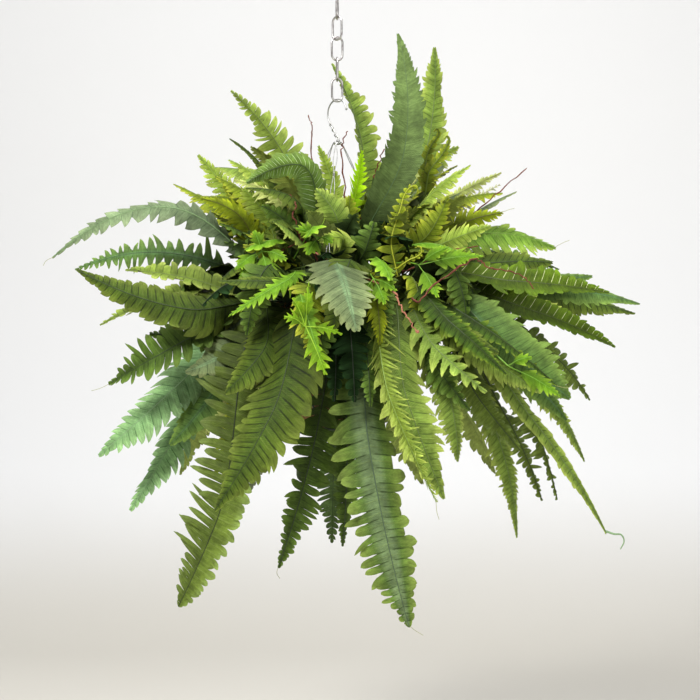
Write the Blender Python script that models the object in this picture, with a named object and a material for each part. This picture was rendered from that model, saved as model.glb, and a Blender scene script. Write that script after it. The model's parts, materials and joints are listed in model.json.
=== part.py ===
# Artificial fern with fabric fronds in a lined wire basket, hung by a hook and five chain links.
# The origin is the point that the top link hangs from, +Z is up and -Y is the front.
# All sizes here are millimetres, and MM turns them to metres as each mesh is made.
import math

import bpy
import numpy as np

MM = 0.001
GAP = 0.3  # between pieces that touch

# Chain links and hook
LINK_WIRE = 3.0
LINK_LENGTH = 29.3  # inside
LINK_WIDTH = 12.8  # inside
LINK_GAP = 0.5  # between links, whose wires cross aslant
LINK_TURNS = (84, -38, 18, -86, 24)  # degrees about the chain, top link first
HOOK_WIRE = 2.0
HOOK_BEND = 19.0  # radius of its round part
HOOK_FOOT = 62.0  # from the top of the round part down to the closed end
HOOK_TURN = -46
HOOK_EYE = 4.6  # radius of the closed eye at its foot, to the middle of its wire
EYE_WIRE = 2.4

# Basket, liner and foam
RIM_Z = -440.0
RIM_RADIUS = 125.0  # to the middle of the rim wire
BASKET_DEPTH = 162.0
FOOT_RADIUS = 64.0
RIM_WIRE = 4.0
BASKET_WIRE = 2.6
UPRIGHTS = 8
LINER_THICKNESS = 6.0
LINER_STANDS = 2.0  # above the rim wire's top
DOME_RADIUS = 112.0
DOME_HEIGHT = 58.0
HOLE_DEPTH = 20.0
HOLE_RADIUS = 2.6  # to the corners of the square holes that the stems stand in

# Three strands of thin wire from the hook's foot to the rim, each with a knot at every loop
STRAND_HEADINGS = (-8, 112, 232)
STRAND_WIRE = 2.0
KNOT = 4.2
KNOT_SPACING = 46.0

# Fronds
STEM = 2.2  # square, where it stands in the foam
BLADE_EDGE = 0.6  # thickness at a leaflet's tip
RIB_WIDTH = 4.0
RIB_THICKNESS = 1.4
FORK_AT = 16.0  # from the foam, up the first frond's stem
FORK_SINK = 0.6  # of a second frond into the stem that it forks from
TWIG_RADII = (1.35, 0.8)  # at the foam and at the tip

UP = np.array([0.0, 0.0, 1.0])


# Each kind: colour, the share of the frond where its leaflets begin, and their lean and droop in degrees
KINDS = {
    "olive": ("55682B", 0.15, 14, 14),
    "dark": ("3B5221", 0.16, 14, 16),
    "sage": ("7E9A66", 0.14, 20, 12),
    "pale": ("A7AF6E", 0.18, 24, 16),
    "moss": ("75801A", 0.16, 20, 14),
    "lime": ("8FBF1A", 0.30, 30, 8),
}
BLUNT_FROM = 90.0  # olive fronds this wide have blunt leaflets

# Each node: its name, the heading and rise at which its stem leaves the foam, and its fronds. A heading
# turns from the front towards the right. Each frond: its kind, a point on its way, its tip, width, the turn
# of its face and its pairs of leaflets.
FRONDS = (
    ("frond_front_sage", (-4, 54), (("sage", (4, -225, -388), (26, -300, -470), 86, 0, 10),)),
    ("frond_low_front_left", (-18, 24), (("olive", (-80, -238, -572), (-154, -232, -698), 108, -6, 12),)),
    ("frond_low_front_right", (13, 14), (("sage", (41, -216, -608), (95, -190, -854), 90, 6, 12),)),
    ("frond_low_left", (-42, 10), (("olive", (-124, -158, -680), (-214, -110, -838), 98, -12, 12),)),
    (
        "frond_low_middle",
        (2, 13),
        (
            ("dark", (-30, -168, -622), (-78, -112, -786), 66, 4, 10),
            ("moss", (14, -140, -640), (8, -84, -778), 50, 0, 7),
        ),
    ),
    ("frond_low_side_on", (20, 36), (("moss", (70, -282, -560), (126, -268, -684), 44, 55, 9),)),
    (
        "frond_low_right_front",
        (33, 24),
        (
            ("sage", (90, -245, -556), (138, -226, -684), 70, 8, 10),
            ("olive", (140, -180, -530), (160, -160, -640), 60, 6, 7),
        ),
    ),
    (
        "frond_left_olive",
        (-56, 9),
        (
            ("olive", (-196, -146, -440), (-342, -150, -388), 106, -42, 12),
            ("moss", (-206, -96, -396), (-286, -84, -386), 50, -38, 7),
        ),
    ),
    ("frond_left_arch", (-78, 50), (("sage", (-222, -60, -300), (-388, -66, -368), 64, -50, 11),)),
    (
        "frond_left_level",
        (-100, 40),
        (
            ("sage", (-250, 24, -356), (-372, 34, -380), 66, -56, 10),
            ("moss", (-250, -20, -424), (-326, -40, -460), 34, -38, 6),
        ),
    ),
    (
        "frond_left_dark",
        (-70, 12),
        (
            ("dark", (-186, -112, -472), (-308, -90, -540), 68, -48, 10),
            ("pale", (-124, -104, -534), (-178, -72, -606), 44, -34, 6),
        ),
    ),
    (
        "frond_left_low",
        (-92, 12),
        (
            ("sage", (-206, -50, -530), (-326, -56, -638), 74, -56, 11),
            ("sage", (-196, 6, -560), (-288, -12, -717), 66, -58, 10),
        ),
    ),
    ("frond_right_ribbed", (70, 46), (("olive", (240, -116, -402), (366, -104, -417), 64, 44, 11),)),
    (
        "frond_right_fall",
        (78, 34),
        (
            ("moss", (264, -82, -440), (380, -62, -490), 56, 46, 10),
            ("pale", (250, -16, -420), (352, -6, -462), 40, 50, 6),
        ),
    ),
    ("frond_right_low", (80, 8), (("olive", (214, -24, -590), (252, 0, -756), 54, 54, 8),)),
    (
        "frond_right_low_back",
        (104, 10),
        (
            ("dark", (236, 56, -580), (294, 66, -710), 60, 60, 8),
            ("dark", (276, 133, -578), (326, 156, -716), 60, 60, 7),
        ),
    ),
    ("frond_right_long", (60, 30), (("sage", (258, -120, -582), (368, -64, -744), 62, 48, 11),)),
    (
        "frond_right_front",
        (43, 38),
        (
            ("moss", (150, -228, -462), (216, -244, -524), 52, 24, 8),
            ("lime", (190, -176, -462), (286, -196, -540), 32, 10, 7),
        ),
    ),
    ("frond_right_mid_back", (108, 28), (("olive", (286, 66, -540), (356, 76, -654), 64, 56, 8),)),
    ("frond_right_drop", (84, 26), (("olive", (268, -22, -474), (354, 0, -564), 66, 54, 9),)),
    ("frond_right_broad", (58, 44), (("sage", (236, -168, -484), (308, -148, -558), 92, 82, 10),)),
    (
        "frond_right_tips",
        (98, 44),
        (
            ("sage", (316, 36, -404), (430, 44, -428), 60, 44, 10),
            ("olive", (304, 104, -410), (434, 116, -440), 56, 50, 9),
        ),
    ),
    ("frond_right_light", (74, 62), (("pale", (214, -54, -334), (300, -44, -353), 72, 44, 10),)),
    ("frond_right_upper", (104, 56), (("dark", (216, 50, -354), (318, 64, -378), 66, 28, 9),)),
    (
        "spray_upper_right",
        (58, 66),
        (
            ("moss", (140, 8, -296), (232, 14, -273), 46, 34, 7),
            ("pale", (150, 90, -282), (236, 84, -238), 38, 50, 7),
            ("moss", (112, -67, -300), (180, -86, -244), 40, 44, 7),
            ("pale", (84, -80, -300), (108, -92, -262), 24, 20, 5),
        ),
    ),
    ("frond_top_sage", (34, 78), (("sage", (92, -72, -222), (84, -48, -60), 68, -56, 11),)),
    ("frond_top_olive", (132, 72), (("olive", (134, 112, -182), (142, 118, -52), 56, 72, 10),)),
    ("frond_top_back", (160, 70), (("olive", (32, 62, -182), (-8, 62, -84), 60, 35, 10),)),
    ("frond_top_left", (-62, 80), (("moss", (-66, 10, -236), (-150, 22, -128), 66, -88, 10),)),
    ("frond_upper_left", (-122, 58), (("moss", (-132, 62, -300), (-200, 72, -214), 46, -54, 8),)),
    ("frond_top_arch", (-24, 72), (("dark", (-50, -96, -244), (-120, -112, -270), 54, -30, 9),)),
    (
        "spray_upper_left",
        (-66, 62),
        (
            ("moss", (-110, -30, -300), (-187, -22, -282), 42, -44, 7),
            ("olive", (-92, -14, -254), (-148, -32, -202), 30, -50, 6),
            ("pale", (-74, -52, -296), (-140, -60, -262), 38, -56, 7),
        ),
    ),
    (
        "sprig_upper_left",
        (-40, 44),
        (
            ("lime", (-70, -130, -350), (-118, -168, -362), 42, 0, 5),
            ("lime", (-30, -140, -330), (-38, -182, -346), 36, 26, 4),
        ),
    ),
    ("sprig_top", (14, 88), (("lime", (26, -60, -280), (34, -98, -226), 34, 12, 5),)),
    (
        "sprig_front_left",
        (-30, 46),
        (
            ("lime", (-66, -210, -410), (-137, -214, -449), 40, 0, 6),
            ("lime", (-26, -240, -440), (-14, -276, -520), 46, 0, 5),
        ),
    ),
    (
        "sprig_right",
        (30, 58),
        (
            ("lime", (56, -180, -376), (70, -236, -404), 36, 0, 4),
            ("lime", (120, -130, -352), (168, -152, -368), 42, 0, 4),
        ),
    ),
    (
        "frond_back_top_left",
        (-150, 66),
        (
            ("olive", (-90, 110, -260), (-190, 190, -220), 60, -20, 8),
            ("sage", (-60, 150, -300), (-96, 270, -290), 56, 10, 7),
        ),
    ),
    (
        "frond_back_top_right",
        (140, 62),
        (
            ("sage", (100, 110, -260), (180, 180, -190), 60, 46, 7),
            ("olive", (50, 160, -300), (60, 290, -280), 58, 0, 6),
        ),
    ),
    (
        "frond_back_right",
        (124, 38),
        (
            ("olive", (210, 150, -400), (310, 240, -450), 72, 20, 7),
            ("dark", (150, 190, -404), (220, 310, -460), 68, 10, 6),
        ),
    ),
    (
        "frond_back_left",
        (-126, 38),
        (
            ("sage", (-210, 140, -400), (-320, 220, -440), 72, -20, 7),
            ("olive", (-150, 190, -404), (-230, 310, -470), 68, -10, 6),
        ),
    ),
    (
        "frond_back_middle",
        (180, 40),
        (
            ("sage", (30, 220, -400), (60, 370, -460), 78, 0, 7),
            ("olive", (-50, 207, -410), (-100, 343, -480), 70, 0, 6),
        ),
    ),
    (
        "frond_back_low_right",
        (140, 12),
        (
            ("sage", (170, 190, -560), (220, 230, -720), 74, 10, 7),
            ("olive", (90, 215, -570), (130, 260, -740), 74, 0, 6),
        ),
    ),
    (
        "frond_back_low_left",
        (-146, 12),
        (
            ("olive", (-180, 180, -560), (-240, 210, -720), 76, -10, 7),
            ("sage", (-100, 215, -570), (-140, 250, -760), 74, 0, 6),
        ),
    ),
    (
        "frond_back_low_middle",
        (178, 6),
        (
            ("dark", (-4, 215, -580), (-10, 250, -790), 78, 0, 8),
            ("moss", (40, 170, -600), (60, 170, -760), 54, 0, 6),
        ),
    ),
)

# Each twig: its name, its heading and rise at the foam, and its branches as points. The second forks from
# the first.
TWIGS = (
    ("twig_left", (-160, 80), (((-20, 22, -300), (-34, 30, -236), (-33, 28, -204), (-42, 30, -166)),)),
    (
        "twig_top",
        (60, 84),
        (
            ((14, -14, -300), (9, -8, -232), (17, -12, -188)),
            ((30, -34, -290), (48, -40, -262), (67, -44, -228)),
        ),
    ),
    (
        "twig_right",
        (90, 68),
        (
            ((96, -14, -340), (164, -30, -320), (212, -34, -286), (262, -36, -243)),
            ((120, -70, -366), (176, -100, -372), (250, -104, -376)),
        ),
    ),
    ("twig_front", (-16, 66), (((-30, -110, -340), (-52, -124, -338), (-64, -112, -284)),)),
)


def unit(v):
    return v / np.linalg.norm(v)


def heading_vector(heading, rise=0.0):
    """A direction that turns from the front (-Y) towards the right (+X) and rises from level."""
    a = math.radians(heading)
    r = math.radians(rise)
    return np.array([math.sin(a) * math.cos(r), -math.cos(a) * math.cos(r), math.sin(r)])


def remove_all():
    for thing in list(bpy.data.objects):
        bpy.data.objects.remove(thing, do_unlink=True)


def material(name, colour, roughness, metallic=0.0):
    found = bpy.data.materials.get(name)
    if found:
        return found
    made = bpy.data.materials.new(name)
    made.use_nodes = True
    shader = made.node_tree.nodes["Principled BSDF"]
    parts = [int(colour[i : i + 2], 16) / 255 for i in (0, 2, 4)]
    linear = [c / 12.92 if c <= 0.04045 else ((c + 0.055) / 1.055) ** 2.4 for c in parts]
    shader.inputs["Base Color"].default_value = (*linear, 1.0)
    shader.inputs["Roughness"].default_value = roughness
    shader.inputs["Metallic"].default_value = metallic
    return made


def add_mesh(name, points, faces, finish, smooth=False):
    mesh = bpy.data.meshes.new(name)
    mesh.from_pydata([tuple(float(c) * MM for c in p) for p in points], [], faces)
    mesh.materials.append(finish)
    if smooth:
        mesh.shade_smooth()
        mesh.set_sharp_from_angle(angle=math.radians(50))
    thing = bpy.data.objects.new(name, mesh)
    bpy.context.scene.collection.objects.link(thing)
    return thing


def apply_modifiers(thing):
    """Puts the shape as its modifiers give it into the object's own mesh."""
    graph = bpy.context.evaluated_depsgraph_get()
    mesh = bpy.data.meshes.new_from_object(thing.evaluated_get(graph))
    thing.modifiers.clear()
    thing.data = mesh


def combine(name, things, operation="UNION", base=None):
    """Joins the things into one body, or cuts them from base, with one Boolean on their collection."""
    first = base or things.pop(0)
    others = bpy.data.collections.new(name + "_others")
    bpy.context.scene.collection.children.link(others)
    for thing in things:
        others.objects.link(thing)
        bpy.context.scene.collection.objects.unlink(thing)
    cut = first.modifiers.new("others", "BOOLEAN")
    cut.operand_type = "COLLECTION"
    cut.collection = others
    cut.operation = operation
    cut.solver = "MANIFOLD"
    apply_modifiers(first)
    for thing in things:
        bpy.data.objects.remove(thing, do_unlink=True)
    bpy.data.collections.remove(others)
    first.name = name
    return first


def sections_mesh(sections, closed=False):
    """Faces over a row of like cross-sections, with both ends filled unless the row is closed."""
    sides = len(sections[0])
    points = [p for section in sections for p in section]
    rows = len(sections)
    faces = []
    for i in range(rows if closed else rows - 1):
        a = i * sides
        b = (i + 1) % rows * sides
        for k in range(sides):
            m = (k + 1) % sides
            faces.append((a + k, a + m, b + m, b + k))
    if not closed:
        faces.append(tuple(reversed(range(sides))))
        faces.append(tuple(range((rows - 1) * sides, rows * sides)))
    return points, faces


def wire(route, radii, sides, closed=False):
    """Cross-sections of round wire along a route, carried round its bends without twisting."""
    route = np.asarray(route, float)
    ahead = np.roll(route, -1, axis=0) - route
    behind = route - np.roll(route, 1, axis=0)
    if not closed:
        ahead[-1] = behind[-1]
        behind[0] = ahead[0]
    tangents = [unit(unit(a) + unit(b)) for a, b in zip(ahead, behind)]
    across = np.cross(tangents[0], UP if abs(tangents[0][2]) < 0.9 else (1.0, 0.0, 0.0))
    sections = []
    for i, (point, along) in enumerate(zip(route, tangents)):
        across = unit(across - along * np.dot(across, along))
        other = np.cross(along, across)
        radius = radii[i] if hasattr(radii, "__len__") else radii
        turns = [2 * math.pi * k / sides for k in range(sides)]
        sections.append([point + radius * (across * math.cos(t) + other * math.sin(t)) for t in turns])
    return sections


def lathe(profile, sides):
    """Faces of a profile of (radius, height) turned about the hanging axis, closed where a radius is 0."""
    points = []
    rings = []
    for radius, height in profile:
        if radius == 0:
            rings.append([len(points)])
            points.append((0.0, 0.0, height))
            continue
        rings.append(list(range(len(points), len(points) + sides)))
        for k in range(sides):
            a = 2 * math.pi * k / sides
            points.append((radius * math.cos(a), radius * math.sin(a), height))
    faces = []
    for low, high in zip(rings, rings[1:]):
        for k in range(sides):
            m = (k + 1) % sides
            if len(low) == 1:
                faces.append((low[0], high[m], high[k]))
            elif len(high) == 1:
                faces.append((low[k], low[m], high[0]))
            else:
                faces.append((low[k], low[m], high[m], high[k]))
    return points, faces


def bowl(inset, steps=6):
    """The basket's profile from its rim down to its foot as (radius, height), moved in by inset."""
    line = []
    for i in range(steps + 1):
        t = i / steps
        line.append((RIM_RADIUS - (RIM_RADIUS - FOOT_RADIUS) * t**1.8, RIM_Z - BASKET_DEPTH * t))
    moved = []
    for i, (radius, height) in enumerate(line):
        before = line[max(i - 1, 0)]
        after = line[min(i + 1, steps)]
        slope = unit(np.array([after[0] - before[0], after[1] - before[1]]))
        moved.append((radius + slope[1] * inset, height - slope[0] * inset))
    return moved


def link_route(steps=6):
    """An oval link's middle line in its own plane, as (across, down), from the top."""
    radius = (LINK_WIDTH + LINK_WIRE) / 2
    straight = (LINK_LENGTH - LINK_WIDTH) / 2
    route = []
    for side, middle in ((1, -straight), (-1, straight)):
        for k in range(steps + 1):
            a = math.pi * k / steps
            route.append((side * radius * math.cos(a), middle - side * radius * math.sin(a)))
    return route


def chain():
    finish = material("nickel_plate", "C9C7C2", 0.28, 1.0)
    for i, turn in enumerate(LINK_TURNS):
        middle = -LINK_LENGTH / 2 - i * (LINK_LENGTH - LINK_GAP)
        a = math.radians(turn)
        route = [(x * math.cos(a), x * math.sin(a), middle - z) for x, z in link_route()]
        shape = sections_mesh(wire(route, LINK_WIRE / 2, 5, True), True)
        add_mesh(f"chain_link_{i + 1}", *shape, finish, True)


def hook_top():
    lowest = -LINK_LENGTH - (len(LINK_TURNS) - 1) * (LINK_LENGTH - LINK_GAP)
    return lowest + GAP + HOOK_WIRE / 2


def hook_route():
    """The hook's middle line as (across, height), from its free end over the round part to the foot."""
    middle = hook_top() - HOOK_BEND
    route = []
    for angle in range(12, 201, 17):
        a = math.radians(angle)
        route.append((HOOK_BEND * math.cos(a), middle + HOOK_BEND * math.sin(a)))
    foot = hook_top() - HOOK_FOOT
    route += [(-12.5, middle - 16.5), (-4.5, middle - 27.0), (2.6, foot + 8.0), (HOOK_EYE, foot)]
    return route


def hook():
    a = math.radians(HOOK_TURN)
    route = [(x * math.cos(a), x * math.sin(a), z) for x, z in hook_route()]
    finish = material("bright_wire", "BDBDB8", 0.3, 1.0)
    bent = add_mesh("hook", *sections_mesh(wire(route, HOOK_WIRE / 2, 6)), finish, True)
    foot = hook_top() - HOOK_FOOT
    turns = np.linspace(0, 2 * math.pi, 11)[:-1]
    eye = [(HOOK_EYE * math.cos(t), HOOK_EYE * math.sin(t), foot) for t in turns]
    closed = add_mesh("hook_eye", *sections_mesh(wire(eye, EYE_WIRE / 2, 5, True), True), finish)
    combine("hook", [bent, closed])


def curl(middle, out, radius, angles):
    """Points of a strand's end bent round a wire. Each angle rises from the outward direction."""
    turns = [math.radians(a) for a in angles]
    return [middle + radius * (out * math.cos(t) + UP * math.sin(t)) for t in turns]


def strand_route(heading):
    """A strand's upper end, hooked over the foot's eye from inside, and its lower one round the rim."""
    out = heading_vector(heading)
    at_eye = out * HOOK_EYE + UP * (hook_top() - HOOK_FOOT)
    at_rim = out * (RIM_RADIUS + 0.4) + UP * RIM_Z
    upper = curl(at_eye, out, (EYE_WIRE + STRAND_WIRE) / 2 + 0.6, (196, 150, 105, 60, 15))
    lower = curl(at_rim, out, (RIM_WIRE + STRAND_WIRE) / 2 + 0.8, (112, 68, 24, -20, -64))
    return upper, lower


def strands():
    finish = material("bright_wire", "BDBDB8", 0.3, 1.0)
    for i, heading in enumerate(STRAND_HEADINGS):
        upper, lower = strand_route(heading)
        length = np.linalg.norm(lower[0] - upper[-1])
        along = (lower[0] - upper[-1]) / length
        count = int(length // KNOT_SPACING)
        route = list(upper)
        radii = [STRAND_WIRE / 2] * len(upper)
        for k in range(1, count):
            middle = length * k / count
            for offset, radius in ((-3.4, STRAND_WIRE / 2), (0.0, KNOT / 2), (3.4, STRAND_WIRE / 2)):
                route.append(upper[-1] + along * (middle + offset))
                radii.append(radius)
        route += lower
        radii += [STRAND_WIRE / 2] * len(lower)
        add_mesh(f"basket_strand_{i + 1}", *sections_mesh(wire(route, radii, 4)), finish)


def wire_ring(radius, height, thick, sides, steps):
    """A level ring whose straight runs stay outside the radius."""
    fit = radius / math.cos(math.pi / steps)
    turns = [2 * math.pi * k / steps for k in range(steps)]
    route = [(fit * math.cos(t), fit * math.sin(t), height) for t in turns]
    return sections_mesh(wire(route, thick / 2, sides, True), True)


def basket():
    finish = material("green_painted_wire", "3A4234", 0.45, 0.6)
    parts = [add_mesh("basket_wire", *wire_ring(RIM_RADIUS, RIM_Z, RIM_WIRE, 5, 24), finish)]
    line = bowl(0)
    for index, steps in ((2, 20), (4, 16)):
        radius, height = line[index]
        parts.append(add_mesh("ring", *wire_ring(radius + 0.4, height, BASKET_WIRE, 4, steps), finish))
    foot_radius, foot_z = line[-1]
    foot = wire_ring(foot_radius - 0.6, foot_z - 0.3, BASKET_WIRE, 4, 12)
    parts.append(add_mesh("foot", *foot, finish))
    for k in range(UPRIGHTS):
        a = 2 * math.pi * (k + 0.5) / UPRIGHTS
        route = [(r * math.cos(a), r * math.sin(a), z) for r, z in line]
        parts.append(add_mesh("upright", *sections_mesh(wire(route, BASKET_WIRE / 2, 4)), finish))
    for k in range(2):
        a = math.pi * (k + 0.25) / 2
        reach = foot_radius - 0.4
        route = [(s * reach * math.cos(a), s * reach * math.sin(a), foot_z - 0.7) for s in (-1, 1)]
        parts.append(add_mesh("cross", *sections_mesh(wire(route, BASKET_WIRE / 2, 4)), finish))
    combine("basket_wire", parts)


def liner_lines():
    """The liner's outer and inner profiles, from its top edge down."""
    outer = bowl(RIM_WIRE / 2 + GAP + 0.2)
    inner = bowl(RIM_WIRE / 2 + GAP + 0.2 + LINER_THICKNESS)
    top = RIM_Z + RIM_WIRE / 2 + LINER_STANDS
    outer[0] = (outer[0][0], top)
    inner[0] = (inner[0][0], top)
    foot = RIM_Z - BASKET_DEPTH + BASKET_WIRE / 2 + 0.8
    outer[-1] = (outer[-1][0], foot)
    inner[-1] = (inner[-1][0] - 2.0, foot + LINER_THICKNESS)
    return outer, inner


def liner():
    outer, inner = liner_lines()
    profile = [(0, outer[-1][1]), *reversed(outer), *inner, (0, inner[-1][1])]
    add_mesh("coir_liner", *lathe(profile, 20), material("coir", "A9784A", 0.95))


def dome_base():
    return RIM_Z + RIM_WIRE / 2 + LINER_STANDS + 2.0


def dome_profile(grow=0.0, steps=4):
    line = []
    for i in range(steps + 1):
        a = math.pi / 2 * i / steps
        radius = (DOME_RADIUS + grow) * math.cos(a) if i < steps else 0
        line.append((radius, dome_base() + (DOME_HEIGHT + grow) * math.sin(a)))
    return line


def root_on_dome(heading, rise):
    """Where a stem that leaves square to the dome at this heading and rise stands on it."""
    out = heading_vector(heading)
    r = math.radians(rise)
    angle = math.atan2(DOME_HEIGHT * math.sin(r), DOME_RADIUS * math.cos(r))
    return out * DOME_RADIUS * math.cos(angle) + UP * (dome_base() + DOME_HEIGHT * math.sin(angle))


def foam():
    _, inner = liner_lines()
    wall = [(r - GAP - 0.1, z) for r, z in inner]
    wall[-1] = (wall[-1][0] - 0.3, wall[-1][1] + GAP)
    profile = [(0, wall[-1][1]), *reversed(wall[::2]), *dome_profile()]
    block = add_mesh("foam", *lathe(profile, 20), material("floral_foam", "4A5A38", 0.95))
    holes = []
    for _, (heading, rise), _ in FRONDS + TWIGS:
        root = root_on_dome(heading, rise)
        out = heading_vector(heading, rise)
        ends = [root - out * (HOLE_DEPTH + GAP), root + out * 12.0]
        hole = sections_mesh(wire(ends, HOLE_RADIUS, 4))
        holes.append(add_mesh("hole", *hole, block.data.materials[0]))
    combine("foam", holes, "DIFFERENCE", block)


def curve_through(start, lead, way, tip, steps=40):
    """A smooth path that leaves start along lead, passes the point on its way and ends at tip."""
    first = np.linalg.norm(way - start)
    second = np.linalg.norm(tip - way)
    passing = ((way - start) / first * second + (tip - way) / second * first) / (first + second)
    ending = 2 * (tip - way) / second - passing
    path = []
    for a, b, out, into, reach in ((start, way, lead, passing, first), (way, tip, passing, ending, second)):
        t = np.linspace(0, 1, steps // 2 + 1)[:, None]
        piece = (2 * t**3 - 3 * t**2 + 1) * a + (t**3 - 2 * t**2 + t) * out * reach
        piece += (3 * t**2 - 2 * t**3) * b + (t**3 - t**2) * into * reach
        path.append(piece if not path else piece[1:])
    return np.concatenate(path)


class Frond:
    """A frond's middle line with its facing at each point, and its half width along it."""

    def __init__(self, kind, start, lead, way, tip, width, turn, pairs):
        self.kind = kind
        self.pairs = pairs
        self.width = width
        self.path = curve_through(start, lead, way, tip)
        steps = np.linalg.norm(np.diff(self.path, axis=0), axis=1)
        self.far = np.concatenate(([0.0], np.cumsum(steps)))
        self.length = self.far[-1]
        self.lead = lead
        level = np.cross(unit((way + tip) * (1, 1, 0)), UP)
        along = np.gradient(self.path, axis=0)
        self.along = along / np.linalg.norm(along, axis=1)[:, None]
        side = level - self.along * (self.along @ level)[:, None]
        side /= np.linalg.norm(side, axis=1)[:, None]
        out = np.cross(side, self.along)
        share = np.clip(self.far / self.length / 0.35, 0, 1)  # turned in full from 0.35 of the length
        angle = (math.radians(turn) * share * share * (3 - 2 * share))[:, None]
        self.side = side * np.cos(angle) - out * np.sin(angle)
        self.out = out * np.cos(angle) + side * np.sin(angle)
        self.begin = KINDS[kind][1]

    def at(self, share):
        """Point, side and outward direction at a share of the length, straight on past the tip."""
        reach = share * self.length
        rows = (self.path, self.side, self.out)
        got = [np.array([np.interp(reach, self.far, row[:, k]) for k in range(3)]) for row in rows]
        if share > 1:
            got[0] = got[0] + self.along[-1] * (share - 1) * self.length
        return got

    def half_width(self, share):
        """Half of the frond's width, full from a third of the blade and drawn in to the tip."""
        u = (share - self.begin) / (1 - self.begin)
        if u <= 0:
            return RIB_WIDTH / 2
        widen = min(u / 0.3, 1.0)
        full = self.width / 2 * (0.5 + 0.5 * math.sin(widen * math.pi / 2))
        return full * max(1 - u**3.2, 0.0) ** 0.85 + RIB_WIDTH / 2


def twig_routes(heading, rise, branches):
    """Each branch of a twig as points, from inside its hole, and a fork's from inside the first branch."""
    root = root_on_dome(heading, rise)
    out = heading_vector(heading, rise)
    main = [root - out * HOLE_DEPTH, root + out * 8.0] + [np.array(p, float) for p in branches[0]]
    routes = [main]
    for branch in branches[1:]:
        routes.append([main[1] * 0.55 + main[2] * 0.45] + [np.array(p, float) for p in branch])
    return routes


def blade(frond, inner, stations):
    """One closed thin body: a square stem that flattens to a rib, and leaflets cut to it on both sides.

    Its stem begins inner before the frond's start and has a corner at each of the stations.
    """
    _, begin, lean, droop = KINDS[frond.kind]
    blunt = frond.kind == "olive" and frond.width >= BLUNT_FROM
    lean = math.tan(math.radians(lean))
    down = math.sin(math.radians(droop))
    level = math.cos(math.radians(droop))
    points = []
    faces = []

    def rib_corners(share):
        middle, side, out = frond.at(share)
        ease = min(max(share / begin, 0.0), 1.0)
        taper = 1.0 - 0.55 * max(share - begin, 0.0) / (1 - begin)
        half = (STEM + (RIB_WIDTH - STEM) * ease) / 2 * taper
        thick = (STEM + (RIB_THICKNESS - STEM) * ease) / 2 * (0.4 + 0.6 * taper)
        points.extend([middle - side * half + out * thick, middle + side * half + out * thick])
        points.extend([middle + side * half - out * thick, middle - side * half - out * thick])
        return len(points) - 4

    def wall(a, b):
        """A wall between top corners a and b, whose under corners are given beside them."""
        faces.append((a[0], a[1], b[1]))
        faces.append((a[0], b[1], b[0]))

    _, side, out = frond.at(0)
    middle = frond.path[0] - frond.lead * inner
    half = STEM / 2
    points.extend([middle - side * half + out * half, middle + side * half + out * half])
    points.extend([middle + side * half - out * half, middle - side * half - out * half])
    stem = [0] + [rib_corners(share) for share in stations]
    faces.append((3, 2, 1, 0))
    for a, b in zip(stem, stem[1:]):
        for k in range(4):
            m = (k + 1) % 4
            faces.append((a + k, a + m, b + m))
            faces.append((a + k, b + m, b + k))
    last = stem[-1]
    for i in range(frond.pairs):
        step = (1 - begin) / frond.pairs
        low = begin + i * step
        high = low + step
        cut = 0.985 if i == frond.pairs - 1 else high
        ahead = rib_corners(cut)
        faces.append((last, last + 1, ahead + 1))
        faces.append((last, ahead + 1, ahead))
        faces.append((last + 3, ahead + 2, last + 2))
        faces.append((last + 3, ahead + 3, ahead + 2))
        left = (-1, (last, last + 3), (ahead, ahead + 3))
        right = (1, (last + 1, last + 2), (ahead + 1, ahead + 2))
        for sign, near, far in (left, right):
            tips = []
            for part in (0.3, 0.86) if blunt else (0.62,):
                share = low + step * part
                reach = frond.half_width(share) * (1.0 if part < 0.8 else 0.94)
                middle, side, out = frond.at(share + reach * lean / frond.length)
                tip = middle + side * sign * reach * level - out * reach * down
                points.extend([tip + out * BLADE_EDGE / 2, tip - out * BLADE_EDGE / 2])
                tips.append((len(points) - 2, len(points) - 1))
            ring = [near, *tips, far]
            for k in range(1, len(ring) - 1):
                top = (ring[0][0], ring[k][0], ring[k + 1][0])
                under = (ring[0][1], ring[k + 1][1], ring[k][1])
                faces.append(top if sign > 0 else tuple(reversed(top)))
                faces.append(under if sign > 0 else tuple(reversed(under)))
            for a, b in zip(ring, ring[1:]):
                if sign > 0:
                    wall(a, b)
                else:
                    wall(b, a)
        last = ahead
    middle, side, out = frond.at(1.0)
    points.extend([middle + out * BLADE_EDGE / 2, middle - out * BLADE_EDGE / 2])
    end = (len(points) - 2, len(points) - 1)
    faces.append((last, last + 1, end[0]))
    faces.append((last + 2, last + 3, end[1]))
    wall((last + 1, last + 2), end)
    wall(end, (last, last + 3))
    return points, faces


def fronds():
    """Each node's first frond stands in the foam, and the others fork from its stem."""
    for name, (heading, rise), rows in FRONDS:
        first = None
        parts = []
        for kind, way, tip, width, turn, pairs in rows:
            way = np.array(way, float)
            tip = np.array(tip, float)
            lead = heading_vector(heading, rise)
            if first is None:
                first = Frond(kind, root_on_dome(heading, rise), lead, way, tip, width, turn, pairs)
                shape = blade(first, HOLE_DEPTH, (0.0, first.begin * 0.5, first.begin))
            else:
                start = first.at(FORK_AT / first.length)[0]
                away = unit(unit(way - start) + lead * 0.35)
                fork = Frond(kind, start, away, way, tip, width, turn, pairs)
                shape = blade(fork, FORK_SINK, (fork.begin * 0.5, fork.begin))
            parts.append(add_mesh(name, *shape, material("leaf_" + kind, KINDS[kind][0], 0.6)))
        if len(parts) > 1:
            combine(name, parts)


def twigs():
    finish = material("twig", "6B4232", 0.8)
    for name, (heading, rise), branches in TWIGS:
        parts = []
        for route in twig_routes(heading, rise, branches):
            radii = np.linspace(*TWIG_RADII, len(route))
            parts.append(add_mesh(name, *sections_mesh(wire(route, radii, 4)), finish))
        if len(parts) > 1:
            combine(name, parts)


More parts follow.
